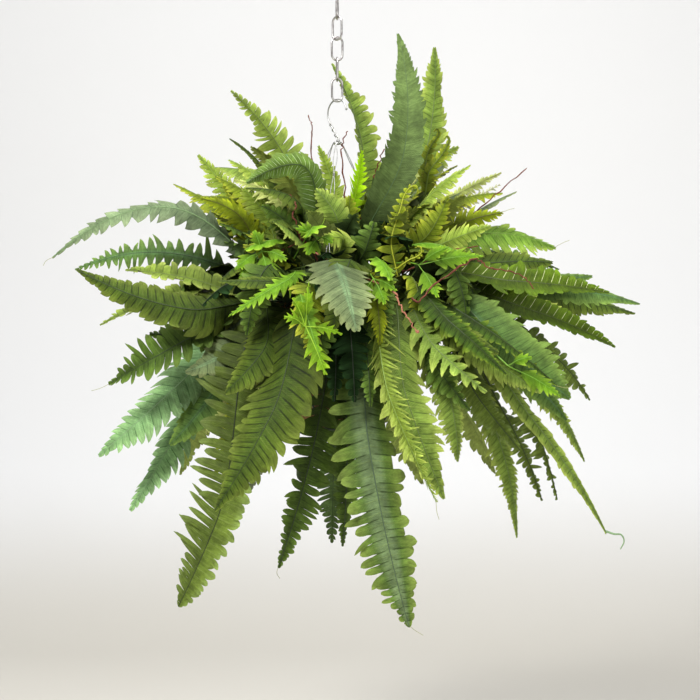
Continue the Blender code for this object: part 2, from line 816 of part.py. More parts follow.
def build():
    remove_all()
    chain()
    hook()
    strands()
    basket()
    liner()
    foam()
    twigs()
    fronds()


build()
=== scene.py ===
import json
import math

import bpy
import numpy as np
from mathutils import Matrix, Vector

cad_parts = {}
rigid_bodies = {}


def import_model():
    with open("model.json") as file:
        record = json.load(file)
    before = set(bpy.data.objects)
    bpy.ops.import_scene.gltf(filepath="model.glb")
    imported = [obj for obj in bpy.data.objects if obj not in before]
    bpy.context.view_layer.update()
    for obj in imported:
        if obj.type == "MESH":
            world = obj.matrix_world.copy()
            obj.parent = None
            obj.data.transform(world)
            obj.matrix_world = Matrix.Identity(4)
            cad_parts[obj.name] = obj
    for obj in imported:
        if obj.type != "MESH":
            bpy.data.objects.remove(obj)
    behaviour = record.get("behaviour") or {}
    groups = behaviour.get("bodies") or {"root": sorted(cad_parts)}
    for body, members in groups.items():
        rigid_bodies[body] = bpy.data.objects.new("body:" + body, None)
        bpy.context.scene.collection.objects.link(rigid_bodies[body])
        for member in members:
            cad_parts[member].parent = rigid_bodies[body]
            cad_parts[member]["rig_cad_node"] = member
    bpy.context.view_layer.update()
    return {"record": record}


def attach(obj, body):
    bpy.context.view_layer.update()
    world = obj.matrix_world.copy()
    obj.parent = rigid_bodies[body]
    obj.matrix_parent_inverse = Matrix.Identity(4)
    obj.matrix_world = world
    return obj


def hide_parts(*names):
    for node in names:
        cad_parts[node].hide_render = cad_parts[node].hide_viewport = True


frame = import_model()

mm = 0.001
up = np.array([0.0, 0.0, 1.0])
slotOf = {part["node"]: part["material_slot"] for part in frame["record"]["subparts"]}


# Small helpers

def linearColour(hexText):
    parts = [int(hexText[i:i + 2], 16) / 255 for i in (0, 2, 4)]
    return tuple(c / 12.92 if c <= 0.04045 else ((c + 0.055) / 1.055) ** 2.4 for c in parts) + (1.0,)


def unit(v):
    return v / np.linalg.norm(v)


def fillInputs(material, node, inputs):  # with values, or with the outputs of other nodes
    for name, value in inputs.items():
        if isinstance(value, bpy.types.Node):
            value = value.outputs[0]
        if isinstance(value, bpy.types.NodeSocket):
            material.node_tree.links.new(value, node.inputs[name])
        else:
            node.inputs[name].default_value = value


def addNode(material, kind, inputs, **settings):
    node = material.node_tree.nodes.new("ShaderNode" + kind)
    for name, value in settings.items():
        setattr(node, name, value)
    fillInputs(material, node, inputs)
    return node


def maths(material, operation, *values):
    return addNode(material, "Math", dict(enumerate(values)), operation=operation)


def remap(material, value, low, high, atLow, atHigh):
    return addNode(material, "MapRange", {0: value, 1: low, 2: high, 3: atLow, 4: atHigh})


def blend(material, share, first, second):
    return addNode(material, "Mix", {0: share, 6: first, 7: second}, data_type="RGBA").outputs[2]


def shaded(material, value, colour):
    return addNode(material, "HueSaturation", {"Value": value, "Color": colour})


def noise(material, scale, **inputs):  # in the object's own metres: patches are about 1000 / scale mm across
    ground = addNode(material, "TexCoord", {})
    return addNode(material, "TexNoise", {"Vector": ground.outputs["Object"], "Scale": scale, **inputs})


def newFinish(name, roughness, shine=0.5, metallic=0.0):
    material = bpy.data.materials.new(name)
    material.use_nodes = True
    shader = material.node_tree.nodes["Principled BSDF"]
    fillInputs(material, shader, {"Roughness": roughness, "Specular IOR Level": shine, "Metallic": metallic})
    return material, shader


def dress(material, shader, colour, height, strength, depth, **inputs):  # colour and relief, depth in mm
    bump = addNode(material, "Bump", {"Height": height, "Strength": strength, "Distance": depth * mm})
    fillInputs(material, shader, {"Base Color": colour, "Normal": bump, **inputs})
    return material


def onlyActive(thing):
    bpy.ops.object.select_all(action="DESELECT")
    thing.select_set(True)
    bpy.context.view_layer.objects.active = thing


def addObject(name, data):
    thing = bpy.data.objects.new(name, data)
    bpy.context.scene.collection.objects.link(thing)
    return thing


def cover(thing, finish):
    thing.data.materials.clear()
    thing.data.materials.append(finish)
    thing.data.shade_smooth()
    return thing


def applyPlace(thing):
    onlyActive(thing)
    bpy.ops.object.transform_apply(location=True, rotation=True, scale=True)


def applyAll(thing):
    onlyActive(thing)
    for modifier in list(thing.modifiers):
        bpy.ops.object.modifier_apply(modifier=modifier.name)


def smoothBy(thing, degrees):
    onlyActive(thing)
    bpy.ops.object.shade_smooth_by_angle(angle=math.radians(degrees))


def mergePoints(thing, distance, *more):  # in mm; more is done to the mesh in the same edit
    onlyActive(thing)
    bpy.ops.object.mode_set(mode="EDIT")
    bpy.ops.mesh.select_all(action="SELECT")
    bpy.ops.mesh.remove_doubles(threshold=distance * mm)
    for action in more:
        action()
    bpy.ops.object.mode_set(mode="OBJECT")


def settle(things, name, slot, *nodes):  # joins things to one piece of the body, in place of the nodes
    piece = things[0]
    onlyActive(piece)
    for thing in things[1:]:
        thing.select_set(True)
    if len(things) > 1:
        bpy.ops.object.join()
    piece.name = name
    piece.data.name = name
    applyPlace(piece)
    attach(piece, "root")
    if nodes:
        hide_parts(*nodes)


def tube(points, radii, finish, sides=3, closed=False):  # a wire bent through points, in mm
    curve = bpy.data.curves.new("wire", "CURVE")
    curve.dimensions = "3D"
    spline = curve.splines.new("POLY")
    spline.points.add(len(points) - 1)
    for i, point in enumerate(points):
        spline.points[i].co = (*[float(c) * mm for c in point], 1.0)
        spline.points[i].radius = float(radii[i] if hasattr(radii, "__len__") else radii) * mm
    spline.use_cyclic_u = closed
    curve.bevel_depth = 1.0
    curve.bevel_resolution = sides
    curve.use_fill_caps = not closed
    onlyActive(addObject("wire", curve))
    bpy.ops.object.convert(target="MESH")
    return cover(bpy.context.view_layer.objects.active, finish)


def ball(place, radius, finish, segments, rings):
    bpy.ops.mesh.primitive_uv_sphere_add(segments=segments, ring_count=rings, radius=radius * mm,
                                         location=tuple(float(c) * mm for c in place))
    return cover(bpy.context.active_object, finish)


def smoothThrough(points, steps=8):  # points joined by a smooth line
    points = np.asarray(points, float)
    ends = np.vstack([2 * points[0] - points[1], points, 2 * points[-1] - points[-2]])
    out = []
    for a, b, c, d in zip(ends, ends[1:], ends[2:], ends[3:]):
        for k in range(steps):
            t = k / steps
            out.append(0.5 * (2 * b + (c - a) * t + (2 * a - 5 * b + 4 * c - d) * t * t
                              + (3 * b - a - 3 * c + d) * t ** 3))
    out.append(points[-1])
    return np.array(out)


def headingVector(heading, rise=0.0):  # turns from the front towards the right, and rises
    a = math.radians(heading)
    r = math.radians(rise)
    return np.array([math.sin(a) * math.cos(r), -math.cos(a) * math.cos(r), math.sin(r)])


# Finishes

def clothFinish(name, hexes, tone=1.0, band=None, bandTo=0.13, shine=0.16,
                slit=None, slitFrom=0.84, slitTo=0.56, slitShown=0.8):
    near, middle, tip, veinHex = hexes
    material, shader = newFinish(name, 0.62, shine)
    leaf = addNode(material, "SeparateXYZ", {0: addNode(material, "UVMap", {}, uv_map="leaf")})
    out, across = leaf.outputs[0], leaf.outputs[1]
    place = addNode(material, "SeparateXYZ", {0: addNode(material, "UVMap", {}, uv_map="place")})
    along, tint = place.outputs[0], place.outputs[1]
    ramp = addNode(material, "ValToRGB", {0: out})
    stops = ramp.color_ramp.elements
    stops[0].color = linearColour(band or near)
    stops[1].color = linearColour(tip)
    stops[1].position = 0.95
    for position, hexText in ((bandTo * 0.7, band or near), (bandTo * 1.3, near), (0.58, middle)):
        stops.new(position).color = linearColour(hexText)
    # mottled print, patches about 14 mm across
    patches = noise(material, 72.0, Detail=3.0, Roughness=0.6)
    patchTone = remap(material, patches, 0.3, 0.7, 0.88 * tone, 1.54 * tone)
    # painted shade: the cloth darkens towards the stem, where the heart of the plant lies in shadow; and no two
    # leaflets alike
    rootShade = remap(material, along, 0.24, 0.72, 0.56, 1.08)
    leafTone = remap(material, tint, 0.0, 1.0, 0.74, 1.26)
    # pressed pleats that run out along each leaflet, 1 to 2 mm apart, drawn at about 2 mm so that they show
    # their colour is painted light on the ridges and painted shade in the folds
    pleatAt = addNode(material, "CombineXYZ", {0: maths(material, "MULTIPLY", along, 160.0),
                                               1: maths(material, "MULTIPLY", out, 3.0), 2: tint})
    pleats = addNode(material, "TexNoise", {"Vector": pleatAt, "Scale": 1.0, "Detail": 2.0, "Roughness": 0.6})
    pleatLightAndShade = remap(material, pleats, 0.34, 0.66, 0.8, 1.17)
    tones = patchTone
    for more in (leafTone, pleatLightAndShade, rootShade):
        tones = maths(material, "MULTIPLY", tones, more)
    # distance from the leaflet's own middle vein, 0 on it and 1 at the next leaflet
    offVein = maths(material, "ABSOLUTE", maths(material, "SUBTRACT", across, 0.5))
    offVein = maths(material, "MULTIPLY", offVein, 2.0)
    vein = remap(material, offVein, 0.03, 0.13, 0.24, 0.0)
    # side veins every 2 mm or so, slanting out from the middle one
    slant = maths(material, "MULTIPLY_ADD", offVein, -0.28, out)
    wave = maths(material, "SINE", maths(material, "MULTIPLY", slant, 62.0))
    veins = maths(material, "MAXIMUM", vein, remap(material, wave, 0.55, 1.0, 0.0, 0.24))
    colour = blend(material, veins, ramp, linearColour(veinHex))
    # dark slit colours are painted shade in the cut, pale ones a painted highlight along its edge
    if slit:  # painted light in the cut between leaflets, beside the rib
        atEdge = remap(material, offVein, slitFrom, 0.95, 0.0, 1.0)
        inHalf = remap(material, out, slitTo, slitTo + 0.18, slitShown, 0.0)
        offRib = remap(material, out, 0.06, 0.18, 0.0, 1.0)
        slitPaintedLight = maths(material, "MULTIPLY", atEdge, maths(material, "MULTIPLY", inHalf, offRib))
        colour = blend(material, slitPaintedLight, colour, linearColour(slit))
    # the weave, about 0.4 mm, drawn at 0.9 mm so that it shows
    weave = noise(material, 1100.0, Detail=1.0)
    relief = maths(material, "MULTIPLY_ADD", weave, 0.25, veins)
    relief = maths(material, "MULTIPLY_ADD", pleats, 0.9, relief)
    return dress(material, shader, shaded(material, tones, colour), relief, 0.8, 1.2,
                 Roughness=remap(material, patches, 0.0, 1.0, 0.52, 0.74))


def stemFinish(name, hexText):  # moulded polyethylene: soft, waxy, streaks about 6 mm apart
    material, shader = newFinish(name, 0.5, 0.4)
    streaks = noise(material, 180.0, Detail=2.0)
    tone = remap(material, streaks, 0.0, 1.0, 0.7, 1.25)
    return dress(material, shader, shaded(material, tone, linearColour(hexText)), streaks, 0.3, 0.5)


def metalFinish(name, hexText, darkHex, roughness, metallic=1.0):  # wire, dulled in stains about 6 mm across
    material, shader = newFinish(name, roughness, metallic=metallic)
    stains = noise(material, 160.0, Detail=4.0)
    amount = remap(material, stains, 0.42, 0.68, 0.0, 0.8)
    colour = blend(material, amount, linearColour(hexText), linearColour(darkHex))
    scratches = noise(material, 900.0)  # about 1 mm apart
    return dress(material, shader, colour, scratches, 0.15, 0.3,
                 Roughness=remap(material, stains, 0.0, 1.0, roughness * 0.7, roughness * 1.5))


def roughFinish(name, lightHex, darkHex, grain, relief):  # coir, foam and bark: matt, its grain and relief in mm
    material, shader = newFinish(name, 0.92, 0.2)
    fibres = noise(material, 1000.0 / grain, Detail=5.0, Roughness=0.7, Distortion=1.2)
    ramp = addNode(material, "ValToRGB", {0: fibres})
    for stop, position, hexText in zip(ramp.color_ramp.elements, (0.32, 0.7), (darkHex, lightHex)):
        stop.position = position
        stop.color = linearColour(hexText)
    return dress(material, shader, ramp, fibres, 0.8, relief)


# Printed polyester cloth, heat cut and pressed: dull, faintly ribbed, its print paler towards the tips.
# Each print: its slot, its colours beside the rib, in the middle, at the tip, of the vein and of the back,
# then the name and colour of its rib, and what else differs.
# Slit colours are painted light in the cuts between leaflets: dark ones painted shade, pale ones painted highlights.
leafPrints = {
    "olive": ("leaf_olive", "364A10 485A16 5E6C26 666B38 55682E", "dark green moulded rib", "2C3A16",
              {"slit": "191F0A", "slitFrom": 0.76, "slitTo": 0.62, "slitShown": 0.85}),
    "strap": ("leaf_olive", "4B5C1C 5B6D27 738643 7D8653 758055", "near black moulded rib", "27301A", {}),
    "ribbed": ("leaf_olive", "374906 445A09 556F13 606D1E 3C4C0C", "brown green moulded rib", "3A4418",
               {"slit": "B5B88A", "slitShown": 0.95, "slitFrom": 0.945, "slitTo": 0.66}),
    "arch": ("leaf_dark", "49611E 55712A 6E863C 7F9050 577C50", "deep green moulded rib", "33461E",
             {"slit": "B9C79A", "slitShown": 0.7, "slitFrom": 0.9, "slitTo": 0.62}),
    "dark": ("leaf_dark", "364A15 48601C 607732 657C3B 4C6234", "blackish green moulded rib", "222F14",
             {"slit": "111B07"}),
    # painted shade: near-black cloth and rib for fronds put where the heart of the plant lies in shadow
    "shade": ("leaf_dark", "0E1C09 152610 20361A 243A1C 182A12", "black green moulded rib, painted shade", "161E0E",
              {"shine": 0.03}),
    "sage": ("leaf_sage", "546340 5F6D45 788252 7A7E5C 6E7659", "grey green moulded rib", "64784E",
             {"band": "5F7751", "slit": "2A351B", "slitShown": 0.6}),
    "leafy": ("leaf_moss", "5F772C 778D37 9DAC4E A4B25E 8B9B4D", "leaf green moulded rib", "64763C",
              {"slit": "394A1D"}),
    "deep": ("leaf_moss", "273908 37510C 697C20 5A6F2A 485C1E", "dark moss moulded rib", "2C3C12",
             {"slit": "141E08"}),
    "mist": ("leaf_sage", "617350 6C7D59 7E8C69 81906D 6D7A5B", "pale grey green moulded rib", "74905F",
             {"slit": "47593F", "slitFrom": 0.9}),
    "straw": ("leaf_moss", "5E7026 728434 94A24C 5A6A2A 7E8A48", "dull green moulded rib", "54622A",
              {"slit": "2E3A12"}),
    "vivid": ("leaf_moss", "50721D 69872C 8FA142 97A758 7B8D44", "grass green moulded rib", "6C8A34",
              {"slit": "304914"}),
    "mint": ("leaf_sage", "6B8F5A 7BA065 89A972 A4C08F 8BAC77", "mint green moulded rib", "84A274",
             {"slit": "46663D"}),
    "pale": ("leaf_pale", "879349 9FA957 BBC174 D3D498 A8AE6F", "straw green moulded rib", "9FA060", {}),
    "fresh": ("leaf_moss", "6B8224 849A37 ABB851 BCBF6D 99A359", "light green moulded rib", "7C9440",
              {"slit": "3C4E17"}),
    "cream": ("leaf_pale", "9CA376 B8BC90 D1D1AF D9D9BE BEC098", "cream moulded rib", "B4AE88", {}),
    "gold": ("leaf_moss", "576408 727F0C 9CA51C 4B5510 828A2E", "olive brown moulded rib", "4C4A12", {}),
    "bead": ("leaf_moss", "5C6A10 7E8C18 B8BE3C 66741C A0A730", "yellow moulded stem", "A6AC26", {}),
    "moss": ("leaf_moss", "5E710F 798A1B A1A52F B2A950 7C8A3C", "moss green moulded rib", "5A6A1C",
             {"slit": "363F0C"}),
    "lime": ("leaf_lime", "638C0C 7AA212 95B424 98AF4C 729230", "lime moulded rib", "9CC22A", {}),
    "acid": ("leaf_lime", "86B806 A2D20C BEDE24 B4D840 90B828", "yellow lime moulded rib", "A6CC2C", {}),
    "green": ("leaf_lime", "517910 699119 8DA92F 93AD48 718C32", "bright green moulded rib", "6E9C2C", {}),
    "blue": ("leaf_sage", "45612B 516B2F 6D863A 6D8444 5E733D", "blue green moulded rib", "4A6238",
             {"band": "4A6A3B", "slit": "1E3010", "slitShown": 0.55}),
    "banded": ("leaf_sage", "50692D 5A722D 76893C 788744 697841", "grey moulded rib", "4C5F45",
               {"band": "62764E", "bandTo": 0.34, "slit": "2B3918"}),
}
leafFinishes, stemFinishes = {}, {}
for kind, (slot, hexes, ribName, ribHex, more) in leafPrints.items():
    *front, vein, back = hexes.split()
    leafFinishes[kind] = (clothFinish(kind + " leaf cloth, printed side", (*front, vein), **more),
                          clothFinish(kind + " leaf cloth, back", (back, back, back, vein), 0.86))
    stemFinishes[kind] = stemFinish(ribName, ribHex)
chainPlate = metalFinish("nickel plated steel, drawn and welded", "D2CFCB", "75696A", 0.3)
brightWire = metalFinish("bright drawn steel wire", "C6C6C2", "8A8884", 0.32)
greenPaint = metalFinish("green stove paint on steel wire", "33402C", "1E2719", 0.45, 0.0)
coirMat = roughFinish("coconut coir matting, pressed", "B08A5C", "5A4026", 3.0, 2.0)
coirThread = roughFinish("loose coir fibre", "B58450", "7A5430", 6.0, 0.2)
wetFoam = roughFinish("green floral foam, cut block", "4C5E38", "26321B", 2.0, 0.8)
bark = roughFinish("brown paper wrapped twig", "8A5040", "4A2A20", 4.0, 0.5)
salmon = roughFinish("salmon paper wrapped twig, cut end", "C08468", "7E4A3A", 3.0, 0.4)
print("finishes made")


# Fronds: each look starts from another one and changes some values: its print, where its leaflets begin, their lean
# and droop in degrees, the pitch of leaflets in mm, the share of a leaflet that is joined to its neighbours,
# the gap beyond it, the point and bluntness of its tip, how much it folds, twists, lifts, ruffles and hooks,
# and how the whole frond tapers. The values after that make the two halves of a frond unlike; halves also paints
# one half darker and the other lighter, painted shade and painted light.
frondLooks = {"plain": {
    "begin": 0.15, "lean": 24, "droop": 12, "pitch": 12.0, "joined": 0.3, "gap": 0.3, "point": 2.0,
    "blunt": 0.0, "fold": 0.1, "twist": 10, "lift": 10, "ruffle": 2.0, "hook": 0.5, "taper": (3.3, 0.85),
    "teeth": 0.0, "fewest": 5, "narrow": 1.0, "backward": 0, "forward": 32, "halves": 0.0}}
lookRows = (
    ("olive", "plain", dict(
        droop=14, joined=0.66, gap=0.03, point=3.0, fold=0.05, lift=7, hook=0.7, taper=(4.2, 0.85))),
    ("ribbed", "plain", dict(
        lean=14, droop=-22, pitch=14.0, joined=0.62, gap=0.04, point=3.0, blunt=0.1, fold=0.06, twist=8, lift=4,
        ruffle=1.0, hook=0.4, taper=(3.6, 0.85), slitHalf=-1, halves=0.9)),
    ("arch", "plain", dict(
        begin=0.2, droop=20, pitch=7.5, joined=0.8, gap=0.02, point=2.4, fold=0.03, twist=5, lift=3, ruffle=1.5,
        hook=0.4)),
    ("strap", "plain", dict(
        lean=10, joined=0.08, gap=0.16, point=3.4, blunt=0.15, fold=0.14, twist=9, lift=9, ruffle=1.5, hook=0.15,
        taper=(9.0, 0.65), backward=22, halves=1.0, forward=10, narrow=0.62, fused=0.5)),
    ("banded", "plain", dict(
        lean=13, droop=10, pitch=14.5, joined=0.4, gap=0.22, point=3.6, blunt=0.2, fold=0.08, ruffle=2.5, hook=0.25,
        taper=(6.0, 0.75), backward=4, halves=0.3, forward=14, narrow=0.84, fused=0.68)),
    ("dark", "plain", dict(
        begin=0.16, lean=14, droop=16, pitch=12.5, joined=0.12, gap=0.1, point=2.8, blunt=0.32, lift=9, hook=0.15,
        taper=(3.6, 0.85))),
    ("shade", "dark", dict(
        print="shade", pitch=17.0, point=3.4, blunt=0.2, twist=12, lift=12, hook=0.2, taper=(3.3, 0.85))),
    ("sage", "plain", dict(
        begin=0.14, lean=22, pitch=17.0, joined=0.7, gap=0.06, point=1.5, fold=0.02, twist=9, ruffle=3.0, hook=0.6,
        teeth=0.12, taper=(3.8, 0.85))),
    ("mint", "plain", dict(
        begin=0.14, lean=26, pitch=16.0, joined=0.58, gap=0.1, point=1.7, fold=0.03, twist=7, ruffle=3.0, hook=0.7,
        taper=(3.6, 0.85))),
    ("swept", "plain", dict(
        print="mist", begin=0.14, lean=22, pitch=21.0, joined=0.5, gap=0.14, point=1.3, fold=0.03, twist=6, lift=6,
        hook=0.6, taper=(1.9, 0.9))),
    ("combed", "plain", dict(
        print="blue", begin=0.14, lean=8, droop=4, joined=0.24, point=1.8, twist=14, lift=14, ruffle=3.0,
        taper=(2.2, 0.85))),
    ("tail", "sage", dict(
        print="leafy", lean=26, joined=0.84, gap=0.02, point=1.6, fold=0.03, twist=12, lift=12, taper=(0.85, 0.9),
        teeth=0.0)),
    ("blue", "sage", dict(
        print="blue", lean=20, pitch=11.5, joined=0.84, gap=0.04, point=1.3, twist=6, lift=5, taper=(3.4, 0.85))),
    ("pale", "plain", dict(begin=0.18, droop=16, pitch=9.0, gap=0.12, fold=0.08, twist=12, lift=12, hook=0.3)),
    ("fresh", "plain", dict(
        begin=0.18, lean=26, droop=14, pitch=11.5, joined=0.42, gap=0.06, fold=0.07, twist=11, ruffle=2.5,
        teeth=0.12)),
    ("cream", "plain", dict(
        begin=0.3, lean=30, droop=10, pitch=10.0, joined=0.0, gap=0.45, fold=0.14, twist=20, lift=24, hook=0.0)),
    ("gold", "plain", dict(begin=0.2, lean=30, pitch=10.5, gap=0.08, point=2.2, fold=0.08, twist=9, lift=8)),
    ("bead", "plain", dict(
        begin=0.1, lean=14, droop=4, pitch=13.0, joined=0.0, gap=0.2, fold=0.2, twist=14, lift=12, ruffle=0.5,
        hook=0.0, taper=(1.1, 0.9))),
    ("fringe", "plain", dict(
        print="fresh", begin=0.2, lean=40, droop=20, pitch=8.0, joined=0.0, point=1.8, twist=24, lift=22,
        ruffle=3.0, hook=0.2)),
    ("moss", "plain", dict(begin=0.16, droop=14, pitch=10.0, joined=0.34, gap=0.07, point=2.2, fold=0.08, lift=9)),
    ("lime", "plain", dict(
        print="acid", begin=0.3, lean=34, droop=8, pitch=14.0, joined=0.34, gap=0.2, point=1.2, twist=16, lift=16,
        ruffle=3.0, hook=0.3)),
    ("lobes", "plain", dict(
        print="green", begin=0.5, lean=36, droop=10, pitch=22.0, joined=0.5, gap=0.12, point=1.1, twist=14, lift=14,
        hook=0.2, fewest=4)),
    ("lobed", "plain", dict(
        print="lime", begin=0.24, lean=40, droop=10, pitch=15.0, point=1.1, twist=26, lift=26, hook=0.2,
        taper=(1.4, 1.0), fewest=3)),
    ("lobedGreen", "lobes", dict(begin=0.24, lean=40, pitch=11.0, taper=(1.4, 1.0), fewest=3)),
    ("front", "olive", dict(taper=(2.4, 0.9))),
    ("rolled", "olive", dict(lean=18, blunt=0.4, taper=(1.5, 0.9))),
    ("pods", "moss", dict(print="straw", lean=6, droop=-24, pitch=12.0, joined=0.45, blunt=0.6)),
    ("softLobed", "lobed", dict(
        print="green", begin=0.5, lean=30, joined=0.45, gap=0.36, twist=36, lift=38, ruffle=6.0)),
    ("standing", "dark", dict(droop=-20)),
    ("sword", "blue", dict(taper=(2.1, 0.8))),
    ("ragged", "dark", dict(print="strap", joined=0.2, twist=18, lift=16)),
    ("serrate", "fresh", dict(print="leafy", pitch=9.5, joined=0.62)),
    ("folded", "dark", dict(print="leafy", droop=36, joined=0.5, blunt=0.5, taper=(2.2, 0.85))),
    ("short", "dark", dict(print="deep", pitch=11.0, joined=0.36, teeth=0.12)),
    ("toothed", "fresh", dict(print="leafy", lean=20, pitch=24.0, joined=0.16, gap=0.2, point=1.5)),
    ("softLime", "lime", dict(print="green")),
    ("bright", "olive", dict(print="leafy")),
    ("leafySage", "sage", dict(print="leafy")),
    ("broad", "blue", dict(begin=0.36)),
    ("ovate", "moss", dict(
        print="straw", lean=17, pitch=12.0, joined=0.22, gap=0.12, blunt=0.35, taper=(2.0, 0.9))),
    ("vivid", "fresh", dict(print="vivid", lean=34, pitch=13.0, joined=0.5)),
)
for name, parent, changes in lookRows:
    frondLooks[name] = {"print": name, **frondLooks[parent], **changes}
ribWidth = 4.0  # of the flat print down the middle, added to each frond's width
clothThickness = 0.35
foamTop = {"base": -434.0, "radius": 112.0, "height": 58.0}
wideFrom = 84.0  # wider fronds get more points across each leaflet
plainBelow = 45.0  # narrower ones get fewer points along it, and no teeth
holeDepth = 20.0
forkAt = 16.0  # from the foam, where a second frond leaves the first one's stem

